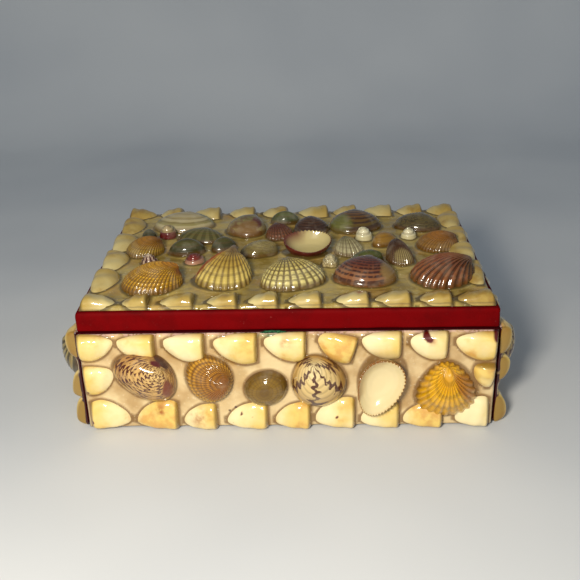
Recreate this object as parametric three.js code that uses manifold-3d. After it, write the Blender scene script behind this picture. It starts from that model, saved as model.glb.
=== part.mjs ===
// A lidded trinket box covered with sea shells, in millimetres, +Z up.
// The origin is the middle of the underside, the long side runs along X and the front faces -Y.
// The box is a wooden tray with a shouldered rim, under a lift-off lid. Each of the four sides and the
// lid's top carries a bed of hard putty with a border of half shells set in it, and bigger shells
// of several kinds stand on the bed inside that border.
import * as THREE from "three";
import { mergeVertices } from "three/addons/utils/BufferGeometryUtils.js";
import Module from "manifold-3d";

const wasm = await Module();
wasm.setup();

// ---------- driving dimensions ----------
const WIDTH = 152;
const DEPTH = 102;
const SEAM_HEIGHT = 40; // where the lid's skirt meets the box
const LID_TOP = 48; // the lid's board, under its shells
const WALL = 4;
const FLOOR = 3;
const SKIRT = 1.8; // thickness of the lid's skirt
const LID_BOARD = 3.4;
const LID_PLAY = 0.4; // clearance between the skirt and the shoulder inside it
const SHOULDER_HEIGHT = 4;

const LID_CHAMFER = 1.2; // worn slope along the lid's top edges

const GAP = 0.3; // clearance between a bed and what it lies on, and between a shell and its bed
const BED_THICKNESS = 1.4;
const BED_TOP = GAP + BED_THICKNESS;
const SHELL_BASE = BED_TOP + GAP;
const POCKET_CLEARANCE = 0.35;

const BORDER = { length: 15, breadth: 11.8, height: 4.1 };

// ---------- materials ----------
const finish = (color, roughness) => new THREE.MeshStandardMaterial({ color, roughness, metalness: 0 });
const RED_PAPER = finish(0x860a0c, 0.7);
const PUTTY = finish(0xd2b684, 0.35);
const GREEN_CLOTH = finish(0x1d5132, 0.9);
const SHELL_COLOURS = {
  cream: finish(0xd9cda0, 0.3),
  yellow: finish(0xc79a2c, 0.3),
  ochre: finish(0xb98a3f, 0.3),
  brown: finish(0x74452a, 0.3),
  speckled: finish(0xc4a470, 0.3),
  green: finish(0x8a8148, 0.3),
  white: finish(0xefe6c6, 0.25),
};

// ---------- solids ----------
/** Moves every vertex of a geometry to what place(x, y, z) returns, and merges what coincides. */
function reshape(geometry, place) {
  const source = geometry.getAttribute("position");
  const moved = new Float32Array(source.count * 3);
  for (let i = 0; i < source.count; i++) {
    moved.set(place(source.getX(i), source.getY(i), source.getZ(i)), i * 3);
  }
  const shaped = new THREE.BufferGeometry();
  shaped.setAttribute("position", new THREE.BufferAttribute(moved, 3));
  shaped.setIndex(geometry.index);
  return mergeVertices(shaped, 1e-4);
}

/** A closed geometry as a manifold-3d solid, without the triangles that collapsed at a pole. */
function solid(geometry) {
  const bare = new THREE.BufferGeometry();
  bare.setAttribute("position", geometry.getAttribute("position"));
  bare.setIndex(geometry.index);
  const merged = mergeVertices(bare, 1e-4);
  const corners = [];
  const index = merged.index.array;
  for (let i = 0; i < index.length; i += 3) {
    const [a, b, c] = index.subarray(i, i + 3);
    if (a !== b && b !== c && a !== c) corners.push(a, b, c);
  }
  const vertProperties = merged.getAttribute("position").array;
  return new wasm.Manifold(new wasm.Mesh({ numProp: 3, vertProperties, triVerts: new Uint32Array(corners) }));
}

/** A manifold-3d solid as a geometry. */
function geometryOf(made) {
  const { vertProperties, triVerts } = made.getMesh();
  const geometry = new THREE.BufferGeometry();
  geometry.setAttribute("position", new THREE.BufferAttribute(new Float32Array(vertProperties), 3));
  geometry.setIndex(new THREE.BufferAttribute(new Uint32Array(triVerts), 1));
  geometry.computeVertexNormals();
  return geometry;
}

/** A box centred on the Z axis, from low to high. */
function block(width, depth, low, high) {
  return solid(new THREE.BoxGeometry(width, depth, high - low).translate(0, 0, (low + high) / 2));
}

function mesh(name, geometry, material) {
  const made = new THREE.Mesh(geometry, material);
  made.name = name;
  return made;
}

// ---------- the box and its lid ----------
/** The tray: floor, four walls, and a shoulder inside them that stands up into the lid. */
function boxBody() {
  const shoulderInset = 2 * (SKIRT + LID_PLAY);
  const walls = block(WIDTH, DEPTH, 0, SEAM_HEIGHT);
  const shoulder = block(WIDTH - shoulderInset, DEPTH - shoulderInset, 0, SEAM_HEIGHT + SHOULDER_HEIGHT);
  const cavity = block(WIDTH - 2 * WALL, DEPTH - 2 * WALL, FLOOR, LID_TOP);
  return geometryOf(walls.add(shoulder).subtract(cavity));
}

/** The lid: a board with a skirt all round that drops over the shoulder. */
function lidBoard() {
  const outside = solid(
    reshape(new THREE.BoxGeometry(WIDTH, DEPTH, 1, 1, 1, 2), (x, y, z) => [
      x - (z > 0.4 ? Math.sign(x) * LID_CHAMFER : 0),
      y - (z > 0.4 ? Math.sign(y) * LID_CHAMFER : 0),
      z < -0.4 ? SEAM_HEIGHT : z > 0.4 ? LID_TOP : LID_TOP - LID_CHAMFER,
    ]),
  );
  const recess = block(WIDTH - 2 * SKIRT, DEPTH - 2 * SKIRT, 0, LID_TOP - LID_BOARD);
  return geometryOf(outside.subtract(recess));
}

// ---------- border shells ----------
const BORDER_SIDES = 8;
const BORDER_RINGS = [0.07, 0.4, 1];

/** Half an egg cut across its widest place: round nose at -X, flat cut end at +X, flat underneath. */
function borderShell(length, breadth) {
  const profile = [new THREE.Vector2(0, 0)];
  for (const t of BORDER_RINGS) {
    const swell = Math.sqrt(1 - (1 - t) ** 2.5);
    profile.push(new THREE.Vector2(swell, t));
  }
  profile.push(new THREE.Vector2(0, 1));
  const lathe = new THREE.LatheGeometry(profile, BORDER_SIDES).rotateZ(-Math.PI / 2);
  return reshape(lathe, (t, y, z) => [
    (t - 0.5) * length,
    (y * breadth) / 2,
    Math.max(z, 0) * BORDER.height + BED_TOP - BED_THICKNESS / 2,
  ]);
}

/** One border shell at u, v on its panel, its cut end turned by the given degrees from +X. */
function placedBorderShell([u, v, turn = 0, length = BORDER.length, breadth = BORDER.breadth]) {
  const shell = borderShell(length, breadth);
  shell.rotateZ(THREE.MathUtils.degToRad(turn)).translate(u, v, 0);
  return solid(shell);
}

// ---------- bigger shells ----------
// A valve is worked out on a unit disc. Its growth lines run from the beak, a point inside the disc,
// to the edge; height is that of a dome over the disc, and the disc is then stretched to the outline.
const VALVES = {
  cockle: { beak: [0, 0.62], taper: 0.12, ribs: 9, ribDepth: 0.07, rings: [0.4, 0.82], power: 0.5, skew: 0.25 },
  scallop: { beak: [0, 0.8], taper: 0.24, ribs: 9, ribDepth: 0.11, rings: [0.4, 0.82], power: 0.55, skew: 0.3 },
  venus: { beak: [0.22, 0.6], taper: 0.1, ribs: 0, ribDepth: 0, rings: [0.42, 0.82], power: 0.5, skew: 0.2 },
  limpet: { beak: [0, 0.15], taper: 0, ribs: 0, ribDepth: 0, rings: [0.75], power: 0.6, skew: 0 },
};
const PLAIN_SIDES = 12;

/** The point of the unit disc at a share of the way from the beak to the edge. */
function discPoint([beakX, beakY], share, angle) {
  return [
    beakX + share * (Math.cos(angle) - beakX),
    beakY + share * (Math.sin(angle) - beakY),
  ];
}

/** A domed valve lying on its open side, beak towards +Y, flat underneath. */
function valveGeometry(kind, { width, length, height }) {
  const { beak, taper, ribs, ribDepth, rings, power, skew } = VALVES[kind];
  const sides = ribs ? 2 * ribs : PLAIN_SIDES;
  const profile = [[0, 0], [1, 0], ...rings.map((r) => [r, 1]).reverse(), [0, 1]];
  return reshape(turned(profile, sides), (x, y, level) => {
    const share = Math.hypot(x, y);
    const angle = Math.atan2(y, x);
    const rib = 1 - ribDepth * share * (0.5 - 0.5 * Math.cos(ribs * angle));
    const [dx, dy] = discPoint(beak, share, angle);
    const dome = Math.max(0, 1 - dx * dx - dy * dy) ** power * (1 + skew * dy) * (1 - 0.4 * skew);
    return [
      (width / 2) * dx * (1 - taper * dy) * rib,
      (length / 2) * dy * rib,
      SHELL_BASE + height * dome * level * rib,
    ];
  });
}

/** A closed outline of [radius, height] pairs turned about the Z axis. */
function turned(outline, sides) {
  const points = outline.map(([radius, height]) => new THREE.Vector2(radius, height));
  return new THREE.LatheGeometry(points, sides).rotateX(Math.PI / 2);
}

const DISH_SIDES = 14;
const DISH_WALL = 0.16; // share of the half width
// Outside from the foot to the lip, then down the inside: share of the half width, share of the height.
const DISH_PROFILE = [[0, 0], [0.5, 0.04], [0.86, 0.45], [1, 1], [1 - DISH_WALL, 0.94], [0.62, 0.42], [0, 0.24]];

/** A valve lying on its back, open side up, its point towards -Y, its far lip higher by a share of its height. */
function dishGeometry({ width, length, height, lean = 0 }) {
  return reshape(turned(DISH_PROFILE, DISH_SIDES), (x, y, level) => [
    (width / 2) * x * (1 + 0.2 * y),
    (length / 2) * y,
    SHELL_BASE + height * level * (1 + lean * y),
  ]);
}

const SNAIL_SIDES = 8;
// Base, body whorl and two steps of the spire: share of the half width, share of the height.
const SNAIL_PROFILE = [[0, 0], [0.82, 0], [1, 0.3], [0.74, 0.62], [0.42, 0.82], [0, 1]];

/** A low top-shaped snail standing on its base. */
function snailGeometry({ width, length, height }) {
  return reshape(turned(SNAIL_PROFILE, SNAIL_SIDES), (x, y, level) => [
    (width / 2) * x,
    (length / 2) * y,
    SHELL_BASE + height * level,
  ]);
}

/** The geometry of a named shell in its own frame, turned and placed on its panel. */
function shellGeometry({ kind, at, size, turn = 0, lean = 0 }) {
  const [width, length, height] = size;
  const sizes = { width, length, height, lean };
  const makers = { dish: dishGeometry, snail: snailGeometry };
  const made = makers[kind] ? makers[kind](sizes) : valveGeometry(kind, sizes);
  return made.rotateZ(THREE.MathUtils.degToRad(turn)).translate(at[0], at[1], 0);
}

const POCKET_SIDES = 10;

/** The room that a bigger shell takes out of the border shells it reaches over. */
function pocket({ kind, at, size, turn = 0 }) {
  const taper = VALVES[kind]?.taper ?? 0.1;
  const [width, length] = size;
  const outline = new THREE.Shape();
  for (let i = 0; i < POCKET_SIDES; i++) {
    const angle = (2 * Math.PI * i) / POCKET_SIDES;
    const grow = 1 / Math.cos(Math.PI / POCKET_SIDES);
    const x = (width / 2 + POCKET_CLEARANCE) * grow * Math.cos(angle) * (1 - taper * Math.sin(angle));
    const y = (length / 2 + POCKET_CLEARANCE) * grow * Math.sin(angle);
    if (i === 0) outline.moveTo(x, y);
    else outline.lineTo(x, y);
  }
  const prism = new THREE.ExtrudeGeometry(outline, { depth: 20, bevelEnabled: false });
  prism.rotateZ(THREE.MathUtils.degToRad(turn)).translate(at[0], at[1], BED_TOP);
  return solid(prism);
}

// ---------- panels ----------
/** A bed of putty of the given size with its border shells, cut where the bigger shells stand. */
function bedGeometry(panel) {
  const { left, right, low, high } = panel.bed;
  let bed = block(right - left, high - low, GAP, BED_TOP).translate((left + right) / 2, (low + high) / 2, 0);
  for (const place of panel.border) bed = bed.add(placedBorderShell(place));
  for (const shell of panel.shells) bed = bed.subtract(pocket(shell));
  if (panel.notch) bed = bed.subtract(panel.notch);
  return geometryOf(bed);
}

/** A panel's group: its bed and its bigger shells, lying in the panel's own X and Y, facing +Z. */
function panelGroup(name, panel) {
  const group = new THREE.Group();
  group.add(mesh(`${name}_shell_bed`, bedGeometry(panel), PUTTY));
  for (const shell of panel.shells) {
    group.add(mesh(`${name}_${shell.name}`, shellGeometry(shell), SHELL_COLOURS[shell.colour]));
  }
  return group;
}

/** A straight run of border shells: [u, v, turn, length, breadth] at equal steps from first to last. */
function row(count, first, last, turn, length = BORDER.length, breadth = BORDER.breadth) {
  const places = [];
  for (let i = 0; i < count; i++) {
    const share = count > 1 ? i / (count - 1) : 0;
    const u = first[0] + share * (last[0] - first[0]);
    const v = first[1] + share * (last[1] - first[1]);
    places.push([u, v, turn, length, breadth]);
  }
  return places;
}

const TOP_ROW = 33.9; // heights of the middles of a side's two rows of border shells
const BOTTOM_ROW = 6;
const MIDDLE = 21;
const LONG_BED = { left: -75.4, right: 75.4, low: 0.5, high: 39.6 };
const SHORT_BED = { left: -50.3, right: 50.3, low: 0.5, high: 39.6 };

const TAB = { width: 10.6, drop: 2.3, thickness: 0.9, x: -4.6 };

const FRONT = {
  bed: LONG_BED,
  notch: block(TAB.width + 0.8, 2 * TAB.drop + 0.8, GAP / 2, 12).translate(TAB.x, SEAM_HEIGHT, 0),
  border: [
    [-69, TOP_ROW + 0.5, 180, 13.3, 10.8],
    [-54.6, TOP_ROW + 0.1, 0, 14.4, 11.2],
    [-37.3, TOP_ROW, 0, 15.8, 11.7],
    [-18.8, TOP_ROW - 0.5, 0, 16.7, 12.6],
    [-0.9, TOP_ROW, 0, 16, 12],
    [17.3, TOP_ROW - 0.2, -14, 14.6, 11.6],
    [33.6, TOP_ROW + 0.2, 0, 15.1, 11.4],
    [50.4, TOP_ROW, 0, 14.5, 11.6],
    [67.4, TOP_ROW - 0.4, 0, 15.4, 11.8],
    [-66.2, BOTTOM_ROW + 1, 180, 15.3, 12],
    [-49.2, BOTTOM_ROW + 0.7, 0, 16.6, 12.4],
    [-33, BOTTOM_ROW - 0.3, 0, 13.1, 11],
    [-15.6, BOTTOM_ROW - 0.1, 0, 16.1, 11.4],
    [1.4, BOTTOM_ROW - 0.2, 0, 13.8, 11.2],
    [17, BOTTOM_ROW + 0.9, 0, 15.5, 13.2],
    [33.5, BOTTOM_ROW - 0.1, 0, 15.1, 11.2],
    [49.2, BOTTOM_ROW - 0.2, 0, 15.4, 10.9],
    [67.3, BOTTOM_ROW + 0.9, 0, 13.1, 12.8],
    [-69.1, MIDDLE, 180, 11.7, 12.4],
    [71, MIDDLE + 0.5, 90, 10.6, 8],
  ],
  shells: [
    { name: "speckled_clam", kind: "venus", colour: "speckled", at: [-51.7, 23.4], size: [24.7, 18.9, 8.5], turn: -35 },
    { name: "ochre_cockle", kind: "cockle", colour: "ochre", at: [-28.5, 22], size: [20.2, 17.8, 7.5], turn: -75 },
    { name: "small_limpet", kind: "limpet", colour: "green", at: [-8.2, 17.5], size: [16.8, 14.4, 5.2], turn: 20 },
    { name: "striped_clam", kind: "venus", colour: "speckled", at: [10.9, 20.6], size: [20.1, 21.9, 8.5], turn: 20 },
    { name: "open_cockle", kind: "dish", colour: "white", at: [33.2, 19.8], size: [16.4, 24.3, 6], turn: -18 },
    { name: "yellow_scallop", kind: "scallop", colour: "yellow", at: [57.7, 16.4], size: [23, 24.4, 8.5], turn: 0 },
  ],
};

const BACK = {
  bed: LONG_BED,
  border: [
    [-68.4, TOP_ROW, 180, 14.2],
    ...row(8, [-52, TOP_ROW], [67.8, TOP_ROW], 0),
    [-68.2, BOTTOM_ROW, 180],
    ...row(8, [-51, BOTTOM_ROW], [67.8, BOTTOM_ROW], 0, 14.6),
    [-69, MIDDLE, 180, 12.6, 11],
    [69.5, MIDDLE, 0, 12.6, 11],
  ],
  shells: [
    { name: "cream_cockle", kind: "cockle", colour: "cream", at: [-51, 20.5], size: [20.5, 19, 8], turn: 12 },
    { name: "brown_clam", kind: "venus", colour: "brown", at: [-27, 20.5], size: [20, 18, 7.6], turn: -30 },
    { name: "yellow_cockle", kind: "cockle", colour: "yellow", at: [-3, 20.5], size: [20, 19, 8], turn: 0 },
    { name: "zigzag_clam", kind: "venus", colour: "speckled", at: [20.5, 20.5], size: [20, 18.5, 8], turn: 40 },
    { name: "orange_scallop", kind: "scallop", colour: "ochre", at: [45, 19.5], size: [22, 20.5, 8], turn: -6 },
  ],
};

/** The short sides share a layout; their bigger shells lie at other angles and places along the panel. */
function sidePanel(tilt, [zigzagAt, cockleAt, brownAt], frontEdge) {
  return {
    bed: SHORT_BED,
    border: [
      [-43.2, TOP_ROW, 180, 14.6],
      ...row(5, [-27, TOP_ROW], [42.8, TOP_ROW], 0),
      [-43.2, BOTTOM_ROW, 180, 14.6],
      ...row(5, [-27, BOTTOM_ROW], [42.8, BOTTOM_ROW], 0),
      [-44, frontEdge < 0 ? MIDDLE + 1 : MIDDLE, 180, 12, 10.6],
      [44, frontEdge > 0 ? MIDDLE - 3.5 : MIDDLE, 0, 12, 10.6],
    ],
    shells: [
      { name: "zigzag_clam", kind: "venus", colour: "speckled", at: zigzagAt, size: [22, 19.5, 9.4], turn: tilt },
      { name: "ribbed_cockle", kind: "cockle", colour: "ochre", at: cockleAt, size: [21, 19.5, 8.4], turn: -tilt },
      { name: "brown_clam", kind: "venus", colour: "brown", at: brownAt, size: [22, 20.5, 9.4], turn: tilt / 2 },
    ],
  };
}
const RIGHT = sidePanel(28, [[-30, 23.5], [-2, 20.8], [25, 21]], -1);
const LEFT = sidePanel(-34, [[-23, 21], [4.5, 20.8], [34.5, 25]], 1);

const FRONT_ROW = -45.5; // middles of the lid's front and back rows and of its side columns
const BACK_ROW = 44.6;
const COLUMN = 69;
const LID_BREADTH = 10;

const LID = {
  bed: { left: -74, right: 74, low: -50.6, high: 49.6 },
  border: [
    [-67.3, FRONT_ROW, 180, 13, LID_BREADTH],
    [-54.4, FRONT_ROW, 0, 10.4, LID_BREADTH],
    [-39.6, FRONT_ROW, 0, 13.4, LID_BREADTH],
    [-23.2, FRONT_ROW, 0, 12.1, LID_BREADTH],
    [-8.7, FRONT_ROW, 0, 12.2, LID_BREADTH],
    [6.4, FRONT_ROW, 0, 12.9, LID_BREADTH],
    [23.3, FRONT_ROW + 0.2, 0, 13, LID_BREADTH],
    [37.6, FRONT_ROW, 0, 13.9, LID_BREADTH],
    [52.7, FRONT_ROW, 0, 12.6, LID_BREADTH],
    [66.8, FRONT_ROW + 0.2, 0, 14.4, LID_BREADTH],
    [-COLUMN, -30.2, 90, 17.6, LID_BREADTH],
    [-COLUMN, -11, 90, 17.2, LID_BREADTH],
    [-COLUMN, 8.4, 90, 17.2, LID_BREADTH],
    [-COLUMN, 28.2, 90, 16.2, LID_BREADTH],
    [COLUMN, -27.4, 90, 18.4, LID_BREADTH],
    [COLUMN, -7.4, 90, 16.4, LID_BREADTH],
    [COLUMN, 11.2, 90, 16.4, LID_BREADTH],
    [COLUMN, 29.6, 90, 17, LID_BREADTH],
    [-67.4, BACK_ROW, 180, 12.4, LID_BREADTH],
    [-54.4, BACK_ROW, 0, 11.4, LID_BREADTH],
    [-38.6, BACK_ROW, 0, 14, LID_BREADTH],
    [-22.4, BACK_ROW, 0, 13, LID_BREADTH],
    [-7.3, BACK_ROW, 0, 12.6, LID_BREADTH],
    [10, BACK_ROW, 0, 14.6, LID_BREADTH],
    [24.4, BACK_ROW, 0, 11.4, LID_BREADTH],
    [38.9, BACK_ROW, 0, 14, LID_BREADTH],
    [53.4, BACK_ROW, 0, 12.2, LID_BREADTH],
    [67, BACK_ROW, 0, 12.4, LID_BREADTH],
  ],
  shells: [
    { name: "yellow_cockle", kind: "cockle", colour: "yellow", at: [-50.6, -31], size: [22, 24.2, 9.2], turn: -72 },
    { name: "fan_cockle", kind: "scallop", colour: "cream", at: [-23.4, -25], size: [22.5, 26.5, 11], turn: -20 },
    { name: "lattice_cockle", kind: "cockle", colour: "cream", at: [2, -29.4], size: [26.3, 19.7, 8.6], turn: 20 },
    { name: "purple_clam", kind: "venus", colour: "brown", at: [29.1, -27.2], size: [24.2, 19.6, 7.8], turn: -5 },
    { name: "red_cockle", kind: "cockle", colour: "brown", at: [58.4, -27.9], size: [22.8, 25.8, 9.8], turn: -80 },
    { name: "orange_cockle", kind: "cockle", colour: "ochre", at: [-59.1, 2.4], size: [16.9, 16.7, 6.6], turn: -80 },
    { name: "banded_snail", kind: "snail", colour: "brown", at: [-55.3, -10], size: [7.2, 6.3, 4.6] },
    { name: "pink_snail", kind: "snail", colour: "brown", at: [-37.4, -9.7], size: [8.3, 8, 4.4] },
    { name: "zigzag_clam", kind: "venus", colour: "speckled", at: [-46.9, 32], size: [26.7, 17.2, 5.8], turn: 6 },
    { name: "ring_snail", kind: "snail", colour: "white", at: [-52.2, 19.2], size: [7.7, 8, 6.2] },
    { name: "olive_chip", kind: "limpet", colour: "green", at: [-60.2, 18.2], size: [6.4, 6.5, 3.6] },
    { name: "grey_limpet", kind: "limpet", colour: "green", at: [-41.6, 0.6], size: [15.4, 9.4, 5.8], turn: 10 },
    { name: "glassy_clam", kind: "venus", colour: "green", at: [-27, 4.1], size: [11.3, 8, 5], turn: 30 },
    { name: "mossy_clam", kind: "venus", colour: "green", at: [-37.6, 15.4], size: [20, 12.3, 4.6], turn: -10 },
    { name: "olive_clam", kind: "venus", colour: "speckled", at: [-18.6, 25], size: [17.7, 17.4, 6.6], turn: -20 },
    { name: "pale_clam", kind: "venus", colour: "green", at: [-12, -1.8], size: [10, 15.9, 5.8], turn: -80 },
    { name: "moss_limpet", kind: "limpet", colour: "green", at: [-2.4, 34.8], size: [13, 7, 5] },
    { name: "beaded_cockle", kind: "cockle", colour: "brown", at: [-4.5, 18], size: [12.4, 13, 5.4], turn: 20 },
    { name: "umber_clam", kind: "venus", colour: "brown", at: [9, 24], size: [16, 14, 6], turn: 20 },
    { name: "open_cockle", kind: "dish", colour: "white", at: [7.9, -1.4], size: [19.4, 14, 5.6], turn: 10, lean: 0.25 },
    { name: "lined_clam", kind: "venus", colour: "brown", at: [28.2, 28], size: [23.4, 19, 7], turn: 14 },
    { name: "white_snail", kind: "snail", colour: "white", at: [31.2, 13.4], size: [7.6, 7.6, 6] },
    { name: "grey_scallop", kind: "scallop", colour: "green", at: [24, -0.6], size: [12, 14, 6.2], turn: 20 },
    { name: "dotted_snail", kind: "snail", colour: "white", at: [16.3, -14.4], size: [6.6, 7.6, 5.4] },
    { name: "amber_clam", kind: "venus", colour: "ochre", at: [39.2, 7.5], size: [12, 8.6, 4.8], turn: 40 },
    { name: "small_scallop", kind: "scallop", colour: "brown", at: [43.6, -9], size: [11, 18, 8], turn: 14 },
    { name: "bronze_clam", kind: "venus", colour: "green", at: [30.8, -11.8], size: [9, 13.6, 5], turn: -80 },
    { name: "mottled_clam", kind: "venus", colour: "green", at: [54.9, 27], size: [20.5, 14.4, 5.8], turn: -14 },
    { name: "bead_snail", kind: "snail", colour: "white", at: [50, 14.6], size: [7, 7.4, 5] },
    { name: "tan_clam", kind: "venus", colour: "ochre", at: [60.6, 4], size: [16, 17.3, 6.4], turn: -88 },
  ],
};

/** What is left of a green cloth tab glued under the lid's skirt: a flat strip with a rounded lower edge. */
function pullTab({ width, drop, thickness }) {
  const outline = new THREE.Shape();
  outline.moveTo(-width / 2, 0);
  outline.quadraticCurveTo(-width / 2, -drop, 0, -drop);
  outline.quadraticCurveTo(width / 2, -drop, width / 2, 0);
  outline.closePath();
  return new THREE.ExtrudeGeometry(outline, { depth: thickness, bevelEnabled: false, curveSegments: 4 });
}

// ---------- assembly ----------
const shellBox = new THREE.Group();
shellBox.add(mesh("box_body", boxBody(), RED_PAPER));
shellBox.add(mesh("lid", lidBoard(), RED_PAPER));

/** Turns a panel's own plane upright, to face -Y, and then about Z to its side of the box. */
function standUp(group, turn, distance) {
  const side = new THREE.Group();
  group.rotation.x = Math.PI / 2;
  group.position.y = -distance;
  side.rotation.z = THREE.MathUtils.degToRad(turn);
  side.add(group);
  return side;
}

shellBox.add(standUp(panelGroup("front", FRONT), 0, DEPTH / 2));
shellBox.add(standUp(panelGroup("right", RIGHT), 90, WIDTH / 2));
shellBox.add(standUp(panelGroup("back", BACK), 180, DEPTH / 2));
shellBox.add(standUp(panelGroup("left", LEFT), -90, WIDTH / 2));

const lidPanel = panelGroup("lid", LID);
lidPanel.position.z = LID_TOP;
shellBox.add(lidPanel);

const tab = mesh("green_pull_tab", pullTab(TAB), GREEN_CLOTH);
tab.rotation.x = Math.PI / 2;
tab.position.set(TAB.x, -DEPTH / 2 - GAP, SEAM_HEIGHT + 0.4);
shellBox.add(tab);

export default shellBox;
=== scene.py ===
"""Dresses the shell box: a lidded trinket box covered with varnished sea shells.

The box and its lid are covered in deep red flock paper. Each side and the lid's top carries a bed of tan
putty under thick clear varnish, a border of cut half shells set in it, and bigger shells and small snails
on it. Every shell is a surface worked out from the way it grows: growth lines that widen from its beak.
"""
import logging
import math
from dataclasses import dataclass
from enum import Enum

import bpy
import numpy as np
from mathutils import Matrix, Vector
from numpy.typing import NDArray


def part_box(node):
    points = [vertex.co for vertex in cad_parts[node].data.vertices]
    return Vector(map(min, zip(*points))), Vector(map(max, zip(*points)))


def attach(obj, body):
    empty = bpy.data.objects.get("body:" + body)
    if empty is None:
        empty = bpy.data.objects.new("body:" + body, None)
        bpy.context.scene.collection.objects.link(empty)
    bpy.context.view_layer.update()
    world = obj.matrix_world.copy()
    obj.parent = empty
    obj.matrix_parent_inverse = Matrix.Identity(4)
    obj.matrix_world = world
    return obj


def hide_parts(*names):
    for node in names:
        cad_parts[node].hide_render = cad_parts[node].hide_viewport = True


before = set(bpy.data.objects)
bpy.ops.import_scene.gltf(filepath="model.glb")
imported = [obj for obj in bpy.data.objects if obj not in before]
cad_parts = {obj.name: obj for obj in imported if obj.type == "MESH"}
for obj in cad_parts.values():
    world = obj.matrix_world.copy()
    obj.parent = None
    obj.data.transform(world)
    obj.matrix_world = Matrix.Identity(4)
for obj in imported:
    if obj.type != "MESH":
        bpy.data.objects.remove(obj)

FloatArray = NDArray[np.float64]
IntArray = NDArray[np.int64]
Colour = tuple[float, float, float]

logging.basicConfig(level=logging.INFO, format="%(message)s")
LOG = logging.getLogger("shell_box")

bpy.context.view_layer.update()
MM = 0.001  # metres
TURN = 2.0 * math.pi

# Sizes of the box, in millimetres.
WIDTH = 152.0
DEPTH = 102.0
SEAM_HEIGHT = 40.0
LID_TOP = 48.0
BED_LEVEL = 1.7  # a bed's top over its board
BREADTH = 11.8  # a border shell's usual breadth

# What varnish, wear and the covering leave on the shells and the putty, with painted shade at the shells' feet and
# painted glints on the putty.
GROWTH_LINE = "5a3c18"
GROOVE_VARNISH = "442806"
# amber varnish and painted shade at a shell's foot
FOOT_VARNISH_AND_SHADE = "553510"
BLOOM = "fff6dc"
RUST = "9a4a0c"
PITTED_SHELL = "5c1208"
SPECK = "2a1c10"
OCHRE_VARNISH = "b48a48"
# painted glints of the putty's rippled varnish
PAINTED_GLINT = "f6e7c4"
GREEN_DYE = "2f6d47"
FRAYED_PAPER = "ecc2b4"
BARE_PAPER = "380a0c"


def colour(code: str) -> Colour:
    """Turns a six-digit display colour into linear light.

    Args:
        code: The colour as six hexadecimal digits.

    Returns:
        Its red, green and blue in linear light.
    """
    shown = (int(code[i:i + 2], 16) / 255.0 for i in (0, 2, 4))
    return tuple(c / 12.92 if c <= 0.04045 else ((c + 0.055) / 1.055) ** 2.4 for c in shown)


def smooth(values: FloatArray, low: float, high: float) -> FloatArray:
    """Rises from 0 at low to 1 at high along the cubic 3t^2 - 2t^3."""
    t = np.clip((values - low) / (high - low), 0.0, 1.0)
    return t * t * (3.0 - 2.0 * t)


def waves(x: FloatArray, y: FloatArray, shortest: float, longest: float, seed: int) -> FloatArray:
    """Adds twelve plane waves of random heading into a gentle uneven surface of about unit height.

    Args:
        x: First coordinate, in millimetres.
        y: Second coordinate, likewise.
        shortest: The shortest wavelength, in millimetres.
        longest: The longest wavelength, in millimetres.
        seed: Chooses the waves.

    Returns:
        The height at each point.
    """
    draw = np.random.default_rng(seed)
    total = np.zeros_like(x)
    for _ in range(12):
        heading, phase = draw.uniform(0.0, TURN, 2)
        length = draw.uniform(shortest, longest)
        total += np.sin(TURN * (x * math.cos(heading) + y * math.sin(heading)) / length + phase)
    return total / 3.5


# ---------------------------------------------------------------------------------------------------
# Surfaces
# ---------------------------------------------------------------------------------------------------
@dataclass
class Surface:
    """Points and faces of closed surfaces, in millimetres.

    Attributes:
        points: One row of x, y and z for each point.
        quads: Four point numbers a face, anticlockwise from outside.
        triangles: Three point numbers a face, likewise.
        growth: For each point the cosine and sine of its angle round the beak, and its share of the way
            from the beak to the edge.
        tint: For each point three shares that its finish reads: tone, stain and pit.
    """

    points: FloatArray
    quads: IntArray
    triangles: IntArray
    growth: FloatArray
    tint: FloatArray

    def laid(self, panel: "Panel") -> "Surface":
        """This surface moved from a panel's own frame to the row frame."""
        return Surface(panel.place(self.points), self.quads, self.triangles, self.growth, self.tint)

    def piece(self, name: str, material: bpy.types.Material, slot: str) -> bpy.types.Object:
        """Makes the surface a shown object of its own that rides on the box.

        Args:
            name: The object's name.
            material: Its finish.
            slot: The record's material slot that the finish stands for; it is not used.

        Returns:
            The new object, at the origin, with its place in its mesh.
        """
        mesh = bpy.data.meshes.new(name)
        corners = np.concatenate([self.quads.ravel(), self.triangles.ravel()])
        sizes = np.concatenate([np.full(len(self.quads), 4), np.full(len(self.triangles), 3)])
        mesh.vertices.add(len(self.points))
        mesh.vertices.foreach_set("co", (self.points * MM).ravel())
        mesh.loops.add(len(corners))
        mesh.loops.foreach_set("vertex_index", corners.astype(np.int32))
        mesh.polygons.add(len(sizes))
        mesh.polygons.foreach_set("loop_start", (np.cumsum(sizes) - sizes).astype(np.int32))
        mesh.polygons.foreach_set("use_smooth", np.ones(len(sizes), dtype=bool))
        for label, values in (("growth", self.growth), ("tint", self.tint)):
            layer = mesh.attributes.new(label, "FLOAT_VECTOR", "POINT")
            layer.data.foreach_set("vector", values.astype(np.float32).ravel())
        mesh.materials.append(material)
        mesh.update(calc_edges=True)
        mesh.validate()
        made = bpy.data.objects.new(name, mesh)
        bpy.context.scene.collection.objects.link(made)
        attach(made, "root")
        LOG.info("%s: %d faces", name, len(sizes))
        return made


def joined(surfaces: list[Surface]) -> Surface:
    """Puts several surfaces into one, each still closed by itself."""
    starts = np.cumsum([0] + [len(s.points) for s in surfaces[:-1]])
    return Surface(
        np.concatenate([s.points for s in surfaces]),
        np.concatenate([s.quads + start for s, start in zip(surfaces, starts)]),
        np.concatenate([s.triangles + start for s, start in zip(surfaces, starts)]),
        np.concatenate([s.growth for s in surfaces]),
        np.concatenate([s.tint for s in surfaces]),
    )


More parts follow.
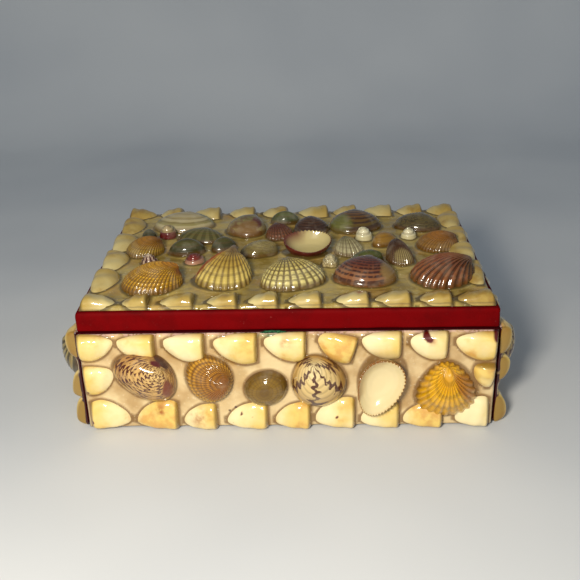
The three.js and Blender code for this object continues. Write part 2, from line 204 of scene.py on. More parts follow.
def wrapped(rows: FloatArray, shares: FloatArray, tint: Colour = (0.0, 0.0, 0.0)) -> Surface:
    """Joins rings of points into a closed surface.

    The first and last ring are each a single point repeated, a pole. Ring by ring outwards and then
    anticlockwise seen from outside, each square of four neighbours is a face.

    Args:
        rows: Rings by points by 3, the points.
        shares: The growth share of each ring.
        tint: The three finish shares, the same at every point.

    Returns:
        The closed surface.
    """
    rings, around = rows.shape[:2]
    inner = np.arange(rings - 2)
    index = 1 + inner[:, None] * around + np.arange(around)
    after = np.roll(index, -1, axis=1)
    last = 1 + (rings - 2) * around
    points = np.concatenate([rows[0, :1], rows[1:-1].reshape(-1, 3), rows[-1, :1]])
    quads = np.stack([index[:-1], index[1:], after[1:], after[:-1]], -1).reshape(-1, 4)
    first_fan = np.stack([np.zeros(around, dtype=np.int64), index[0], after[0]], -1)
    last_fan = np.stack([np.full(around, last), after[-1], index[-1]], -1)
    angle = TURN * np.arange(around) / around
    circle = np.stack([np.cos(angle), np.sin(angle)], -1)
    growth = np.zeros((len(points), 3))
    growth[1:-1, :2] = np.tile(circle, (rings - 2, 1))
    growth[1:-1, 2] = np.repeat(shares[1:-1], around)
    growth[0, 2], growth[-1, 2] = shares[0], shares[-1]
    return Surface(points, quads, np.concatenate([first_fan, last_fan]), growth,
                   np.tile(np.array(tint), (len(points), 1)))


def slab(top: FloatArray, foot: float, tint: FloatArray) -> Surface:
    """Closes a sheet of points into a slab with a flat foot.

    Args:
        top: Rows by columns by 3: rows step along y and columns along x.
        foot: Height of the flat underside.
        tint: The finish shares of each point of the sheet.

    Returns:
        The slab: the sheet, a wall down from its edge, and a fan of triangles underneath.
    """
    rows, columns = top.shape[:2]
    index = np.arange(rows * columns).reshape(rows, columns)
    quads = np.stack([index[:-1, :-1], index[:-1, 1:], index[1:, 1:], index[1:, :-1]], -1).reshape(-1, 4)
    edge = np.concatenate([index[0, :-1], index[:-1, -1], index[-1, :0:-1], index[:0:-1, 0]])
    flat = top.reshape(-1, 3)
    ring = flat[edge].copy()
    ring[:, 2] = foot
    low = rows * columns + np.arange(len(edge))
    wall = np.stack([edge, low, np.roll(low, -1), np.roll(edge, -1)], -1)
    centre = rows * columns + len(edge)
    fan = np.stack([np.full(len(edge), centre), np.roll(low, -1), low], -1)
    middle = ring.mean(axis=0, keepdims=True)
    points = np.concatenate([flat, ring, middle])
    tints = np.concatenate([tint.reshape(-1, 3), tint.reshape(-1, 3)[edge], np.zeros((1, 3))])
    return Surface(points, np.concatenate([quads, wall]), fan, np.zeros_like(points), tints)


def normals(rows: FloatArray) -> FloatArray:
    """Outward unit normals of rings of points: the cross product of the two grid directions."""
    along = np.gradient(rows, axis=0)
    around = np.roll(rows, -1, axis=1) - np.roll(rows, 1, axis=1)
    cross = np.cross(along, around)
    size = np.linalg.norm(cross, axis=2, keepdims=True)
    return np.where(size > 1e-9, cross / np.maximum(size, 1e-9), np.array([0.0, 0.0, 1.0]))


@dataclass(frozen=True)
class Panel:
    """One decorated face of the box: an origin and three axes, in the row frame.

    Attributes:
        name: Front, right, back, left or lid.
        origin: The middle of the face's lower edge, or of the lid's top, in millimetres.
        across: The panel's own x axis.
        up: Its y axis.
        out: Its outward axis.
    """

    name: str
    origin: Colour
    across: Colour
    up: Colour
    out: Colour

    def place(self, points: FloatArray) -> FloatArray:
        """Points of the panel's own frame in the row frame."""
        return np.array(self.origin) + points @ np.array([self.across, self.up, self.out])

    def node_box(self, node: str) -> tuple[FloatArray, FloatArray]:
        """The lowest and highest corners of a node in the panel's own frame, in millimetres."""
        corners = np.array([list(c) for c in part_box(node)]) / MM - np.array(self.origin)
        turned = corners @ np.array([self.across, self.up, self.out]).T
        return turned.min(axis=0), turned.max(axis=0)


FRONT = Panel("front", (0.0, -DEPTH / 2, 0.0), (1.0, 0.0, 0.0), (0.0, 0.0, 1.0), (0.0, -1.0, 0.0))
RIGHT = Panel("right", (WIDTH / 2, 0.0, 0.0), (0.0, 1.0, 0.0), (0.0, 0.0, 1.0), (1.0, 0.0, 0.0))
BACK = Panel("back", (0.0, DEPTH / 2, 0.0), (-1.0, 0.0, 0.0), (0.0, 0.0, 1.0), (0.0, 1.0, 0.0))
LEFT = Panel("left", (-WIDTH / 2, 0.0, 0.0), (0.0, -1.0, 0.0), (0.0, 0.0, 1.0), (-1.0, 0.0, 0.0))
TOP = Panel("lid", (0.0, 0.0, LID_TOP), (1.0, 0.0, 0.0), (0.0, 1.0, 0.0), (0.0, 0.0, 1.0))


# ---------------------------------------------------------------------------------------------------
# Finishes
# ---------------------------------------------------------------------------------------------------
class Field:
    """A number that varies over a surface: a socket of a material's node tree, with arithmetic."""

    def __init__(self, tree: bpy.types.NodeTree, socket: bpy.types.NodeSocket) -> None:
        """Holds the tree and the socket."""
        self.tree = tree
        self.socket = socket

    def math(self, operation: str, *others: "Field | float") -> "Field":
        """The result of one Math node on this number and the others."""
        node = self.tree.nodes.new("ShaderNodeMath")
        node.operation = operation
        self.tree.links.new(self.socket, node.inputs[0])
        for place, other in enumerate(others, start=1):
            if isinstance(other, Field):
                self.tree.links.new(other.socket, node.inputs[place])
            else:
                node.inputs[place].default_value = other
        return Field(self.tree, node.outputs[0])

    def __add__(self, other: "Field | float") -> "Field":
        """The sum."""
        return self.math("ADD", other)

    def __sub__(self, other: "Field | float") -> "Field":
        """The difference."""
        return self.math("SUBTRACT", other)

    def __mul__(self, other: "Field | float") -> "Field":
        """The product."""
        return self.math("MULTIPLY", other)

    def step(self, low: float, high: float) -> "Field":
        """Rises smoothly from 0 at low to 1 at high, or falls where high is less than low."""
        node = self.tree.nodes.new("ShaderNodeMapRange")
        node.interpolation_type = "SMOOTHSTEP"
        self.tree.links.new(self.socket, node.inputs["Value"])
        rising = low < high
        node.inputs["From Min"].default_value = low if rising else high
        node.inputs["From Max"].default_value = high if rising else low
        node.inputs["To Min"].default_value = 0.0 if rising else 1.0
        node.inputs["To Max"].default_value = 1.0 if rising else 0.0
        return Field(self.tree, node.outputs["Result"])

    def wave(self, repeats: float) -> "Field":
        """Swings between 0 and 1, with a crest wherever this number times repeats is whole."""
        return (self * (TURN * repeats)).math("COSINE") * 0.5 + 0.5


class Paint:
    """Builds one material: the places it reads, its noises, its colours and its shader."""

    def __init__(self, name: str) -> None:
        """Starts an empty node material."""
        self.material = bpy.data.materials.new(name)
        self.material.use_nodes = True
        self.tree = self.material.node_tree
        self.shader = self.tree.nodes["Principled BSDF"]
        place = self.tree.nodes.new("ShaderNodeTexCoord")
        self.place = place.outputs["Object"]

    def attribute(self, name: str) -> tuple[Field, Field, Field]:
        """The three numbers of a point attribute."""
        node = self.tree.nodes.new("ShaderNodeAttribute")
        node.attribute_name = name
        parts = self.tree.nodes.new("ShaderNodeSeparateXYZ")
        self.tree.links.new(node.outputs["Vector"], parts.inputs[0])
        return tuple(Field(self.tree, parts.outputs[i]) for i in range(3))

    def position(self) -> tuple[Field, Field, Field]:
        """The object coordinates, in metres."""
        parts = self.tree.nodes.new("ShaderNodeSeparateXYZ")
        self.tree.links.new(self.place, parts.inputs[0])
        return tuple(Field(self.tree, parts.outputs[i]) for i in range(3))

    def vector(self, x: Field, y: Field, z: Field) -> bpy.types.NodeSocket:
        """Three numbers as one vector."""
        node = self.tree.nodes.new("ShaderNodeCombineXYZ")
        for place, part in enumerate((x, y, z)):
            self.tree.links.new(part.socket, node.inputs[place])
        return node.outputs[0]

    def noise(self, size: float, detail: float = 2.0, seed: float = 0.0,
              at: bpy.types.NodeSocket | None = None, rough: float = 0.5) -> Field:
        """Cloudy noise between 0 and 1.

        Args:
            size: Width of one cloud: in metres on object coordinates, else in the vector's own unit.
            detail: How many finer layers it has.
            seed: Moves it elsewhere.
            at: The vector to read it at; object coordinates if left out.
            rough: How strong the finer layers are.

        Returns:
            The noise.
        """
        node = self.tree.nodes.new("ShaderNodeTexNoise")
        node.noise_dimensions = "4D"
        node.inputs["Scale"].default_value = 1.0 / size
        node.inputs["Detail"].default_value = detail
        node.inputs["Roughness"].default_value = rough
        node.inputs["W"].default_value = seed * 7.31
        self.tree.links.new(self.place if at is None else at, node.inputs["Vector"])
        return Field(self.tree, node.outputs[0])

    def specks(self, size: float, share: float) -> Field:
        """Small round dots: 1 inside a dot, 0 outside.

        Args:
            size: The distance between neighbouring cells, in metres.
            share: The dots' radius as a share of that.

        Returns:
            The dots.
        """
        node = self.tree.nodes.new("ShaderNodeTexVoronoi")
        node.inputs["Scale"].default_value = 1.0 / size
        self.tree.links.new(self.place, node.inputs["Vector"])
        return Field(self.tree, node.outputs["Distance"]).step(share, share * 0.7)

    def mix(self, share: Field, first: "bpy.types.NodeSocket | Colour",
            second: "bpy.types.NodeSocket | Colour") -> bpy.types.NodeSocket:
        """The first colour where share is 0 and the second where it is 1."""
        node = self.tree.nodes.new("ShaderNodeMix")
        node.data_type = "RGBA"
        node.clamp_factor = True
        self.tree.links.new(share.socket, node.inputs[0])
        for place, ink in ((6, first), (7, second)):
            if isinstance(ink, tuple):
                node.inputs[place].default_value = (*ink, 1.0)
            else:
                self.tree.links.new(ink, node.inputs[place])
        return node.outputs[2]

    def finish(self, ink: bpy.types.NodeSocket, roughness: float, coat: float = 0.0,
               relief: Field | None = None, depth: float = 0.0) -> bpy.types.Material:
        """Sets the shader.

        Args:
            ink: The base colour.
            roughness: The surface's own roughness.
            coat: How much clear varnish lies on it.
            relief: Fine bump under the varnish.
            depth: The bump's height, in metres.

        Returns:
            The material.
        """
        self.tree.links.new(ink, self.shader.inputs["Base Color"])
        self.shader.inputs["Roughness"].default_value = roughness
        self.shader.inputs["Coat Weight"].default_value = coat
        self.shader.inputs["Coat Roughness"].default_value = 0.07
        self.shader.inputs["Coat IOR"].default_value = 1.5
        self.shader.inputs["Specular IOR Level"].default_value = 0.2
        if relief is not None:
            bump = self.tree.nodes.new("ShaderNodeBump")
            bump.inputs["Distance"].default_value = depth
            self.tree.links.new(relief.socket, bump.inputs["Height"])
            self.tree.links.new(bump.outputs[0], self.shader.inputs["Normal"])
        return self.material


class Pattern(Enum):
    """What is drawn over a shell's ground colours."""

    PLAIN = "plain"
    ZIGZAG = "zigzag"
    CHEVRONS = "chevrons"
    BLOTCHES = "blotches"
    RAYS = "rays"
    RINGS = "rings"
    ROWS = "rows"


@dataclass(frozen=True)
class Patch:
    """One big patch of colour on a shell.

    Attributes:
        ink: Its colour.
        side: Its middle's angle round the beak, in degrees from the shell's right.
        share: Its middle's share of the way from beak to edge.
        width: Half its width, in degrees.
        span: Half its length, as a share of that way.
    """

    ink: str
    side: float
    share: float
    width: float
    span: float

    def cover(self, cosine: Field, sine: Field, share: Field, cloud: Field) -> Field:
        """How much it covers each place: an oval in angle and share with a ragged edge."""
        lean = math.radians(self.side)
        turned = cosine * math.cos(lean) + sine * math.sin(lean)
        aside = (turned * -1.0 + 1.0) * (1.0 / (1.0 - math.cos(math.radians(self.width))))
        along = (share - self.share) * (1.0 / self.span)
        return (aside + along * along + cloud * 1.8 - 0.9).step(1.35, 0.45)


@dataclass(frozen=True)
class ShellFinish:
    """The colours and markings of one shell under its varnish.

    Attributes:
        beak: Colour at the beak.
        middle: Colour half way.
        margin: Colour at the edge.
        pattern: What is drawn over them.
        ink: Colour of the markings.
        count: How many markings go round the shell, or lie between beak and edge.
        strength: How much the markings cover.
        ribs: How many ribs go round it, whose grooves hold darker varnish.
        groove: How dark the grooves are.
        bands: How many growth bands show faintly.
        beads: How many rows of beads lie on the ribs.
        patches: Big patches of colour.
    """

    beak: str
    middle: str
    margin: str
    pattern: Pattern = Pattern.PLAIN
    ink: str = "5a2c14"
    count: int = 9
    strength: float = 0.8
    ribs: int = 0
    groove: float = 0.5
    bands: int = 7
    beads: int = 0
    patches: tuple[Patch, ...] = ()

    def markings(self, around: Field, share: Field, cloud: Field, fine: Field) -> Field:
        """How much of the markings' colour shows at each place.

        A zigzag is a ray whose angle swings as it grows; chevrons are many short ones broken up along
        the growth lines; blotches are noise stretched along them; rays are stripes from the beak; rings
        follow the growth lines at uneven steps, and rows are rings broken by rays.
        """
        if self.pattern is Pattern.ZIGZAG:
            swing = (share * 6.0).math("PINGPONG", 0.5)
            phase = around * float(self.count) + swing * 0.6 + cloud * 0.9
            return phase.wave(1.0).step(0.7, 0.84) * fine.step(0.28, 0.42) * self.strength
        if self.pattern is Pattern.CHEVRONS:
            swing = (share * 12.0).math("PINGPONG", 0.5)
            phase = around * float(self.count) + swing * 1.3 + fine * 0.9
            return phase.wave(1.0).step(0.35, 0.7) * (fine + cloud).step(0.8, 1.0) * self.strength
        if self.pattern is Pattern.BLOTCHES:
            swing = (share * 7.0).math("PINGPONG", 0.5)
            phase = around * float(self.count) + swing * 1.4 + fine * 2.6 + cloud * 2.0
            return phase.wave(1.0).step(0.45, 0.75) * cloud.step(0.32, 0.55) * self.strength
        if self.pattern is Pattern.RAYS:
            return around.wave(float(self.count)).step(0.35, 0.7) * (fine * 0.5 + 0.5) * self.strength
        if self.pattern is Pattern.RINGS:
            return (share + cloud * 0.09).wave(float(self.count)).step(0.3, 0.8) * self.strength
        if self.pattern is Pattern.ROWS:
            rings = (share + cloud * 0.05).wave(float(self.count)).step(0.25, 0.7)
            return rings * (fine + around.wave(31.0) * 0.25).step(0.42, 0.62) * self.strength
        return share * 0.0

    def material(self, name: str) -> bpy.types.Material:
        """Builds the shell's material from its growth attribute.

        Args:
            name: The material's name.

        Returns:
            Ground colours, growth bands, markings and dark grooves under a clear gloss coat.
        """
        paint = Paint(name)
        cosine, sine, share = paint.attribute("growth")
        around = sine.math("ARCTAN2", cosine) * (1.0 / TURN)
        at = paint.vector(cosine, sine, share * 2.5)
        cloud = paint.noise(0.0045, 3.0, 1.0)
        wide, fine = paint.noise(0.45, 3.0, 3.0, at), paint.noise(0.16, 2.0, 5.0, at)
        ground = paint.mix((share + cloud * 0.3 - 0.15).step(0.08, 0.5), colour(self.beak), colour(self.middle))
        ground = paint.mix((share + cloud * 0.2 - 0.1).step(0.55, 0.98), ground, colour(self.margin))
        lines = (share + wide * 0.05).wave(float(self.bands))
        ground = paint.mix(lines.step(0.55, 1.0) * 0.3, ground, colour(GROWTH_LINE))
        if self.pattern is not Pattern.PLAIN:
            ground = paint.mix(self.markings(around, share, wide, fine), ground, colour(self.ink))
        for patch in self.patches:
            ground = paint.mix(patch.cover(cosine, sine, share, cloud), ground, colour(patch.ink))
        if self.ribs:
            dip = around.wave(float(self.ribs)).step(0.55, 0.05) * share.step(0.05, 0.3)
            if self.beads:
                dip = dip.math("MAXIMUM", share.wave(float(self.beads)).step(0.6, 1.0) * 0.8)
            ground = paint.mix(dip * self.groove, ground, colour(GROOVE_VARNISH))
        # Darker at the margin where the shell meets the putty: amber varnish and painted shade.
        ground = paint.mix(share.step(0.94, 1.0) * 0.6, ground, colour(FOOT_VARNISH_AND_SHADE))
        ground = paint.mix((cloud - 0.5) * 0.4, ground, colour(BLOOM))
        relief = share.wave(float(self.bands) * 4.0) + paint.noise(0.0006, 3.0, 4.0) * 0.6
        return paint.finish(ground, 0.38, 1.0, relief, 0.00006)


@dataclass(frozen=True)
class DishFinish:
    """A shell that lies open side up: its outside, its rim and its smooth inside."""

    outside: str
    rim: str
    inside: str
    stain: str

    def material(self, name: str) -> bpy.types.Material:
        """Builds the material: outside up to half of the growth share, inside beyond it.

        The inside pales from the rim inwards: the rim's own brown, and painted shade down the inside wall near it.
        Painted shade spreads over its left and upper part, turned from the light, and fine grooves mark its right rim.
        """
        paint = Paint(name)
        cosine, sine, share = paint.attribute("growth")
        cloud = paint.noise(0.005, 3.0, 1.0)
        outer = paint.mix(cloud.step(0.35, 0.65), colour(self.outside), colour(self.stain))
        # Rim colour to inside colour: the rim's own brown, and painted shade down the deep inside wall.
        inner = paint.mix((share + cloud * 0.1).step(0.6, 0.78), colour(self.rim), colour(self.inside))
        # Painted shade over the inside's left and upper part, the part turned from the light.
        painted_shade_left = (cosine * -0.9 + sine * 0.35 + cloud * 0.6).step(0.6, 1.0) * share.step(0.9, 0.66)
        inner = paint.mix(painted_shade_left * 0.9, inner, colour(self.stain))
        around = sine.math("ARCTAN2", cosine) * (1.0 / TURN)
        grooves = around.wave(64.0).step(0.35, 0.8) * cosine.step(-0.1, 0.4) * share.step(0.68, 0.6)
        inner = paint.mix(grooves * 0.5, inner, colour(self.stain))
        ground = paint.mix(share.step(0.46, 0.5), outer, inner)
        return paint.finish(ground, 0.32, 1.0, paint.noise(0.0008, 2.0), 0.00002)


@dataclass(frozen=True)
class BorderFinish:
    """The cream border shells: paler at the nose, which is painted light, yellower at the cut end, each of its own
    tone, with stains here and there.
    """

    pale: str
    yellow: str
    stain: str
    edge: str

    def material(self, name: str) -> bpy.types.Material:
        """Builds the material; the tint attribute gives each shell's own tone, its rust and its pits.

        The bevel of the cut end is darker: painted shade on the face turned from the light, and amber varnish gathered
        there. A thin darker line round the foot is amber varnish and painted shade too.
        """
        paint = Paint(name)
        _, sine, share = paint.attribute("growth")
        tone, rust, pit = paint.attribute("tint")
        cloud = paint.noise(0.008, 3.0, 1.0)
        streak = paint.noise(0.003, 4.0, 2.0)
        # Pale to yellow by each shell's own tone and a cloud, and by the share from nose to cut end, which paints
        # light on the nose.
        ground = paint.mix((share * 0.55 + tone * 0.8 + cloud - 0.75).step(0.0, 0.7), colour(self.pale),
                           colour(self.yellow))
        ground = paint.mix((cloud + tone * 0.35).step(0.68, 0.84) * streak.step(0.35, 0.6) * 0.6, ground,
                           colour(self.stain))
        # The cut end's bevel: painted shade on the face turned from the light, and amber varnish gathered there.
        ground = paint.mix(share.step(0.93, 0.985) * 0.85, ground, colour(self.edge))
        # A thin line along the foot of both sides: amber varnish and painted shade where the shell meets the putty.
        ground = paint.mix(sine.math("ABSOLUTE").step(0.1, 0.02) * 0.45, ground, colour(self.edge))
        ground = paint.mix(rust * streak.step(0.3, 0.62), ground, colour(RUST))
        ground = paint.mix(pit.step(0.25, 0.6), ground, colour(PITTED_SHELL))
        ground = paint.mix(paint.specks(0.0042, 0.05) * streak.step(0.45, 0.55), ground, colour(SPECK))
        return paint.finish(ground, 0.4, 1.0, streak + cloud, 0.00008)


@dataclass(frozen=True)
class PuttyFinish:
    """Sandy tan putty under clear amber varnish with painted glints, darker round the shells where the varnish gathers
    and painted shade lies.
    """

    light: str
    tan: str
    deep: str

    def material(self, name: str) -> bpy.types.Material:
        """Builds the material.

        The tint attribute says how close the nearest shell is, how green and how ochre the varnish is;
        the growth attribute, which a bed has no other use for, holds its pits and its frayed edge.
        """
        paint = Paint(name)
        rim, stain, ochre = paint.attribute("tint")
        pit, frayed, worn = paint.attribute("growth")
        cloud = paint.noise(0.011, 3.0, 1.0)
        grain = paint.noise(0.0009, 3.0, 2.0)
        ground = paint.mix(cloud.step(0.38, 0.66), colour(self.light), colour(self.tan))
        ground = paint.mix(ochre * 0.5, ground, colour(OCHRE_VARNISH))
        # Darker near the shells: varnish pooled there and painted shade at their feet.
        ground = paint.mix(rim.step(0.1, 1.0) * 0.8, ground, colour(self.deep))
        # Pale specks: painted glints of the rippled varnish.
        ground = paint.mix(grain.step(0.6, 0.74) * 0.3, ground, colour(PAINTED_GLINT))
        ground = paint.mix(stain, ground, colour(GREEN_DYE))
        ground = paint.mix(frayed * grain.step(0.36, 0.52) * 0.8, ground, colour(FRAYED_PAPER))
        ground = paint.mix((pit + worn).step(0.25, 0.6), ground, colour(BARE_PAPER))
        return paint.finish(ground, 0.4, 0.8, grain, 0.00016)


@dataclass(frozen=True)
class FlockFinish:
    """Deep red flock paper, darkened by varnish along the lid's top edge, with painted shade at the seam below the
    lid, and with pale scuffs.
    """

    red: str
    dark: str
    scuff: str

    def material(self, name: str) -> bpy.types.Material:
        """Builds the material from the height, which gives the lid's two edges, and from noise."""
        paint = Paint(name)
        _, _, height = paint.position()
        cloud = paint.noise(0.006, 3.0, 1.0)
        fine = paint.noise(0.0007, 3.0, 2.0)
        edge = (height * 1000.0 + cloud * 1.2 - 0.6)
        # Varnish darkens the paper along the lid's top edge; from 40.7 mm down, the paper is painted darker as shade
        # at the seam, which takes in the lid's lower edge and nearly all of the tray.
        varnish_and_seam_shade = (edge.step(47.0, 47.8) * 0.45).math("MAXIMUM", edge.step(40.7, 40.2) * 0.7)
        ground = paint.mix(cloud.step(0.4, 0.75) * 0.4, colour(self.red), colour(self.dark))
        ground = paint.mix(varnish_and_seam_shade, ground, colour(self.dark))
        scuffs = fine.step(0.66, 0.76) * cloud.step(0.52, 0.64)
        ground = paint.mix(scuffs * 0.4, ground, colour(self.scuff))
        material = paint.finish(ground, 0.62, 0.0, fine, 0.0001)
        paint.shader.inputs["Specular IOR Level"].default_value = 0.04
        return material


@dataclass(frozen=True)
class FeltFinish:
    """Dark green felt with paler fibres."""

    dark: str
    light: str

    def material(self, name: str) -> bpy.types.Material:
        """Builds the material."""
        paint = Paint(name)
        fibre = paint.noise(0.0005, 3.0)
        ground = paint.mix(fibre.step(0.42, 0.72), colour(self.dark), colour(self.light))
        return paint.finish(ground, 0.9, 0.0, fibre, 0.0002)


# ---------------------------------------------------------------------------------------------------
# Border shells
# ---------------------------------------------------------------------------------------------------
@dataclass(frozen=True)
class BorderShell:
    """A cut half shell: a round nose, one nearly straight side, one sloping side and a bevelled cut end.

    Attributes:
        u: Its middle along the panel, in millimetres.
        v: Its middle up the panel.
        turn: Which way the cut end points, in degrees from the panel's x axis.
        length: From nose to cut end, in millimetres.
        breadth: Across the cut end, likewise.
        slope: 1 if the sloping side lies to the left of the way it points, -1 if to the right.
        tone: How yellow it is, 0 to 1.
        foot: Height of its flat foot, inside the bed.
    """

    u: float
    v: float
    turn: float
    length: float
    breadth: float
    slope: int
    tone: float
    foot: float = 1.0

    HEIGHT = 4.1  # from its foot to its crest
    SWEEP_RINGS = 16  # rings from the nose to the bevel
    BEVEL_RINGS = 8
    AROUND = 36  # points round each ring
    CREST = 0.32  # the crest's distance from the straight side, as a share of the breadth
    BEVEL = 1.7  # how far in front of the cut end the crest starts to fall
    WIDEST = 0.73  # where the sloping side is widest, as a share of the length

    def straight(self, t: FloatArray) -> FloatArray:
        """The straight side's distance from the crest line, 0 at the nose: (1 - (1 - t)^3)^(1/2.3)."""
        return self.CREST * self.breadth * (1.0 - (1.0 - t) ** 3.0) ** (1.0 / 2.3)

    def sloping(self, t: FloatArray) -> FloatArray:
        """The sloping side's: (1 - (1 - p)^1.9)^(1/1.35), p = t / WIDEST, and a little less past p = 1."""
        p = np.minimum(t / self.WIDEST, 1.0)
        past = np.maximum(t - self.WIDEST, 0.0) / (1.0 - self.WIDEST)
        share = (1.0 - (1.0 - p) ** 1.9) ** (1.0 / 1.35) - 0.12 * past ** 2
        return (1.0 - self.CREST) * self.breadth * share

    def spun(self, points: FloatArray) -> FloatArray:
        """Turns points about the shell's middle and moves them to its place on the panel."""
        lean = math.radians(self.turn)
        spin = np.array([[math.cos(lean), math.sin(lean), 0.0], [-math.sin(lean), math.cos(lean), 0.0],
                         [0.0, 0.0, 1.0]])
        return points @ spin + np.array([self.u, self.v, 0.0])

    def surface(self) -> Surface:
        """Sweeps a half oval along the shell's length.

        The oval reaches to the straight side one way and to the sloping side the other. Its crest rises
        from the nose as (1 - (1 - t)^2.2)^(1/1.6), and over the bevel it falls as a quarter of an ellipse.
        """
        sweep = 1.0 - np.cos(np.linspace(0.0, math.pi / 2, self.SWEEP_RINGS)) ** 1.4
        fall = np.linspace(0.0, math.pi / 2, self.BEVEL_RINGS)[1:]
        flat = 1.0 - self.BEVEL / self.length
        t = np.concatenate([sweep * flat, 1.0 - (1.0 - flat) * (1.0 - np.sin(fall))])
        drop = np.concatenate([np.ones(self.SWEEP_RINGS), np.cos(fall)])
        narrow = 0.92 + 0.08 * drop
        b = TURN * np.arange(self.AROUND) / self.AROUND
        cosine, sine = np.cos(b), np.sin(b)
        power = np.where(cosine > 0, 1.0, 0.72)
        reach = np.where(cosine[None, :] > 0, self.sloping(t)[:, None], self.straight(t)[:, None])
        middle = (self.CREST - 0.5) * self.breadth
        y = middle + reach * (np.sign(cosine) * np.abs(cosine) ** power)[None, :] * narrow[:, None]
        crest = self.HEIGHT * (1.0 - (1.0 - t) ** 2.2) ** (1.0 / 1.6) * drop
        lift = np.where(sine > 0, np.abs(sine) ** power, 0.0)
        ripple = 0.06 * np.sin(TURN * (2.6 * t[:, None] + self.tone * 7.0) + 2.0 * b[None, :])
        z = self.foot + crest[:, None] * lift[None, :] * (1.0 + ripple) - 0.5 * np.maximum(-sine, 0.0)[None, :]
        x = (t - 0.5)[:, None] * self.length + np.zeros_like(y)
        rows = np.stack([x, y * self.slope, z], -1)
        if self.slope > 0:
            rows = rows[:, ::-1]
        rows = np.concatenate([rows, rows[-1:]])
        rows[0], rows[-1] = rows[0].mean(axis=0), rows[-1].mean(axis=0)
        share = np.concatenate([sweep * 0.93, 0.93 + 0.07 * np.sin(fall), [1.0]])
        return wrapped(self.spun(rows), share, (self.tone, 0.0, 0.0))

    def distance(self, x: FloatArray, y: FloatArray) -> FloatArray:
        """Roughly how far each place is outside the shell's outline, negative inside it."""
        lean = math.radians(self.turn)
        along = (x - self.u) * math.cos(lean) + (y - self.v) * math.sin(lean)
        side = (-(x - self.u) * math.sin(lean) + (y - self.v) * math.cos(lean)) * self.slope
        side = side + (0.5 - self.CREST) * self.breadth
        t = np.clip(along / self.length + 0.5, 0.03, 1.0)
        aside = np.abs(side) - np.where(side > 0, self.sloping(t), self.straight(t))
        past = np.abs(along) - self.length / 2
        inside = np.maximum(past, aside)
        return np.where((past > 0) & (aside > 0), np.hypot(np.maximum(past, 0), np.maximum(aside, 0)), inside)


# ---------------------------------------------------------------------------------------------------
# Bigger shells
# ---------------------------------------------------------------------------------------------------
@dataclass(frozen=True)
class Relief:
    """The raised detail of a valve, in millimetres.

    Attributes:
        ribs: How many ribs go round it.
        rib_depth: Depth of the grooves between them.
        rings: How many growth ridges lie between beak and edge.
        ring_depth: Depth between those.
        beads: How many rows of beads the ribs are cut into.
        bead_depth: Depth of those cuts.
    """

    ribs: int = 0
    rib_depth: float = 0.0
    rings: int = 9
    ring_depth: float = 0.08
    beads: int = 0
    bead_depth: float = 0.0


@dataclass(frozen=True)
class Form:
    """The general shape of a kind of valve, on a disc of radius 1.

    Attributes:
        beak: Where on the disc growth starts.
        taper: How much the outline narrows towards the beak.
        power: The dome's height is (1 - distance squared) to this power.
        skew: How far its summit leans towards the beak.
        hook: How high the beak's own bump stands, as a share of the height.
    """

    beak: tuple[float, float]
    taper: float
    power: float
    skew: float
    hook: float


COCKLE = Form((0.0, 0.86), 0.12, 0.5, 0.25, 0.12)
SCALLOP = Form((0.0, 0.95), 0.24, 0.55, 0.3, 0.1)
FAN = Form((0.0, 0.7), 0.24, 0.6, 0.3, 0.25)
VENUS = Form((0.2, 0.84), 0.1, 0.5, 0.2, 0.1)
LIMPET = Form((0.0, 0.15), 0.0, 0.6, 0.0, 0.0)


@dataclass
class BigShell:
    """A bigger shell: stands where its node stands, and is fitted to the node's size.

    Attributes:
        panel: The face of the box it is on.
        name: The node's name without the panel's.
        turn: Its turn on the panel, in degrees, as its node is turned.
        slim: Its width over its length.
        finish: Its colours.
        slot: The record's material slot.
    """

    panel: Panel
    name: str
    turn: float
    slim: float
    finish: "ShellFinish | DishFinish"
    slot: str
    SINK = 1.1  # how far its edge goes down into the putty, in millimetres

    @property
    def taper(self) -> float:
        """How much the outline narrows towards the beak."""
        return 0.0

    @property
    def node(self) -> str:
        """The full name of the node it stands for."""
        return f"{self.panel.name}_{self.name}"

    def rows(self) -> tuple[FloatArray, FloatArray]:
        """Rings of points about the origin and each ring's growth share; made by each kind."""
        raise NotImplementedError

    def fitted(self, rows: FloatArray) -> FloatArray:
        """Turns the rings on the panel, then stretches and moves them to fill the node's box."""
        lean = math.radians(self.turn)
        spin = np.array([[math.cos(lean), math.sin(lean), 0.0], [-math.sin(lean), math.cos(lean), 0.0],
                         [0.0, 0.0, 1.0]])
        turned = rows @ spin
        low, high = self.panel.node_box(self.node)
        least, most = turned.min(axis=(0, 1)), turned.max(axis=(0, 1))
        return low + (turned - least) * (high - low) / (most - least)

    def distance(self, x: FloatArray, y: FloatArray) -> FloatArray:
        """Roughly how far each place is outside the shell's outline: its oval's, turned."""
        low, high = self.panel.node_box(self.node)
        middle = (low + high) / 2
        lean = math.radians(self.turn)
        reach = (math.hypot(self.slim * math.cos(lean), math.sin(lean)),
                 math.hypot(self.slim * math.sin(lean), math.cos(lean)))
        dx = (x - middle[0]) / (high[0] - low[0]) * 2 * reach[0]
        dy = (y - middle[1]) / (high[1] - low[1]) * 2 * reach[1]
        along = -dx * math.sin(lean) + dy * math.cos(lean)
        across = (dx * math.cos(lean) + dy * math.sin(lean)) / (self.slim * (1.0 - self.taper * along))
        share = np.maximum(np.hypot(across, along), 1e-6)
        return np.hypot(x - middle[0], y - middle[1]) * (1.0 - 1.0 / share)

    def build(self) -> bpy.types.Object:
        """Makes the shell, sinks its edge in the putty, dresses it and lets it stand for its node."""
        rows, share = self.rows()
        fitted = self.fitted(rows)
        sunk = fitted[-1:] - np.array([0.0, 0.0, self.SINK])
        fitted = np.concatenate([fitted, sunk, sunk])
        fitted[0], fitted[-1] = fitted[0].mean(axis=0), fitted[-1].mean(axis=0)
        surface = wrapped(fitted, np.concatenate([share, share[-1:], share[-1:]])).laid(self.panel)
        made = surface.piece(f"{self.node}_shell", self.finish.material(f"{self.node}_finish"), self.slot)
        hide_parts(self.node)
        return made


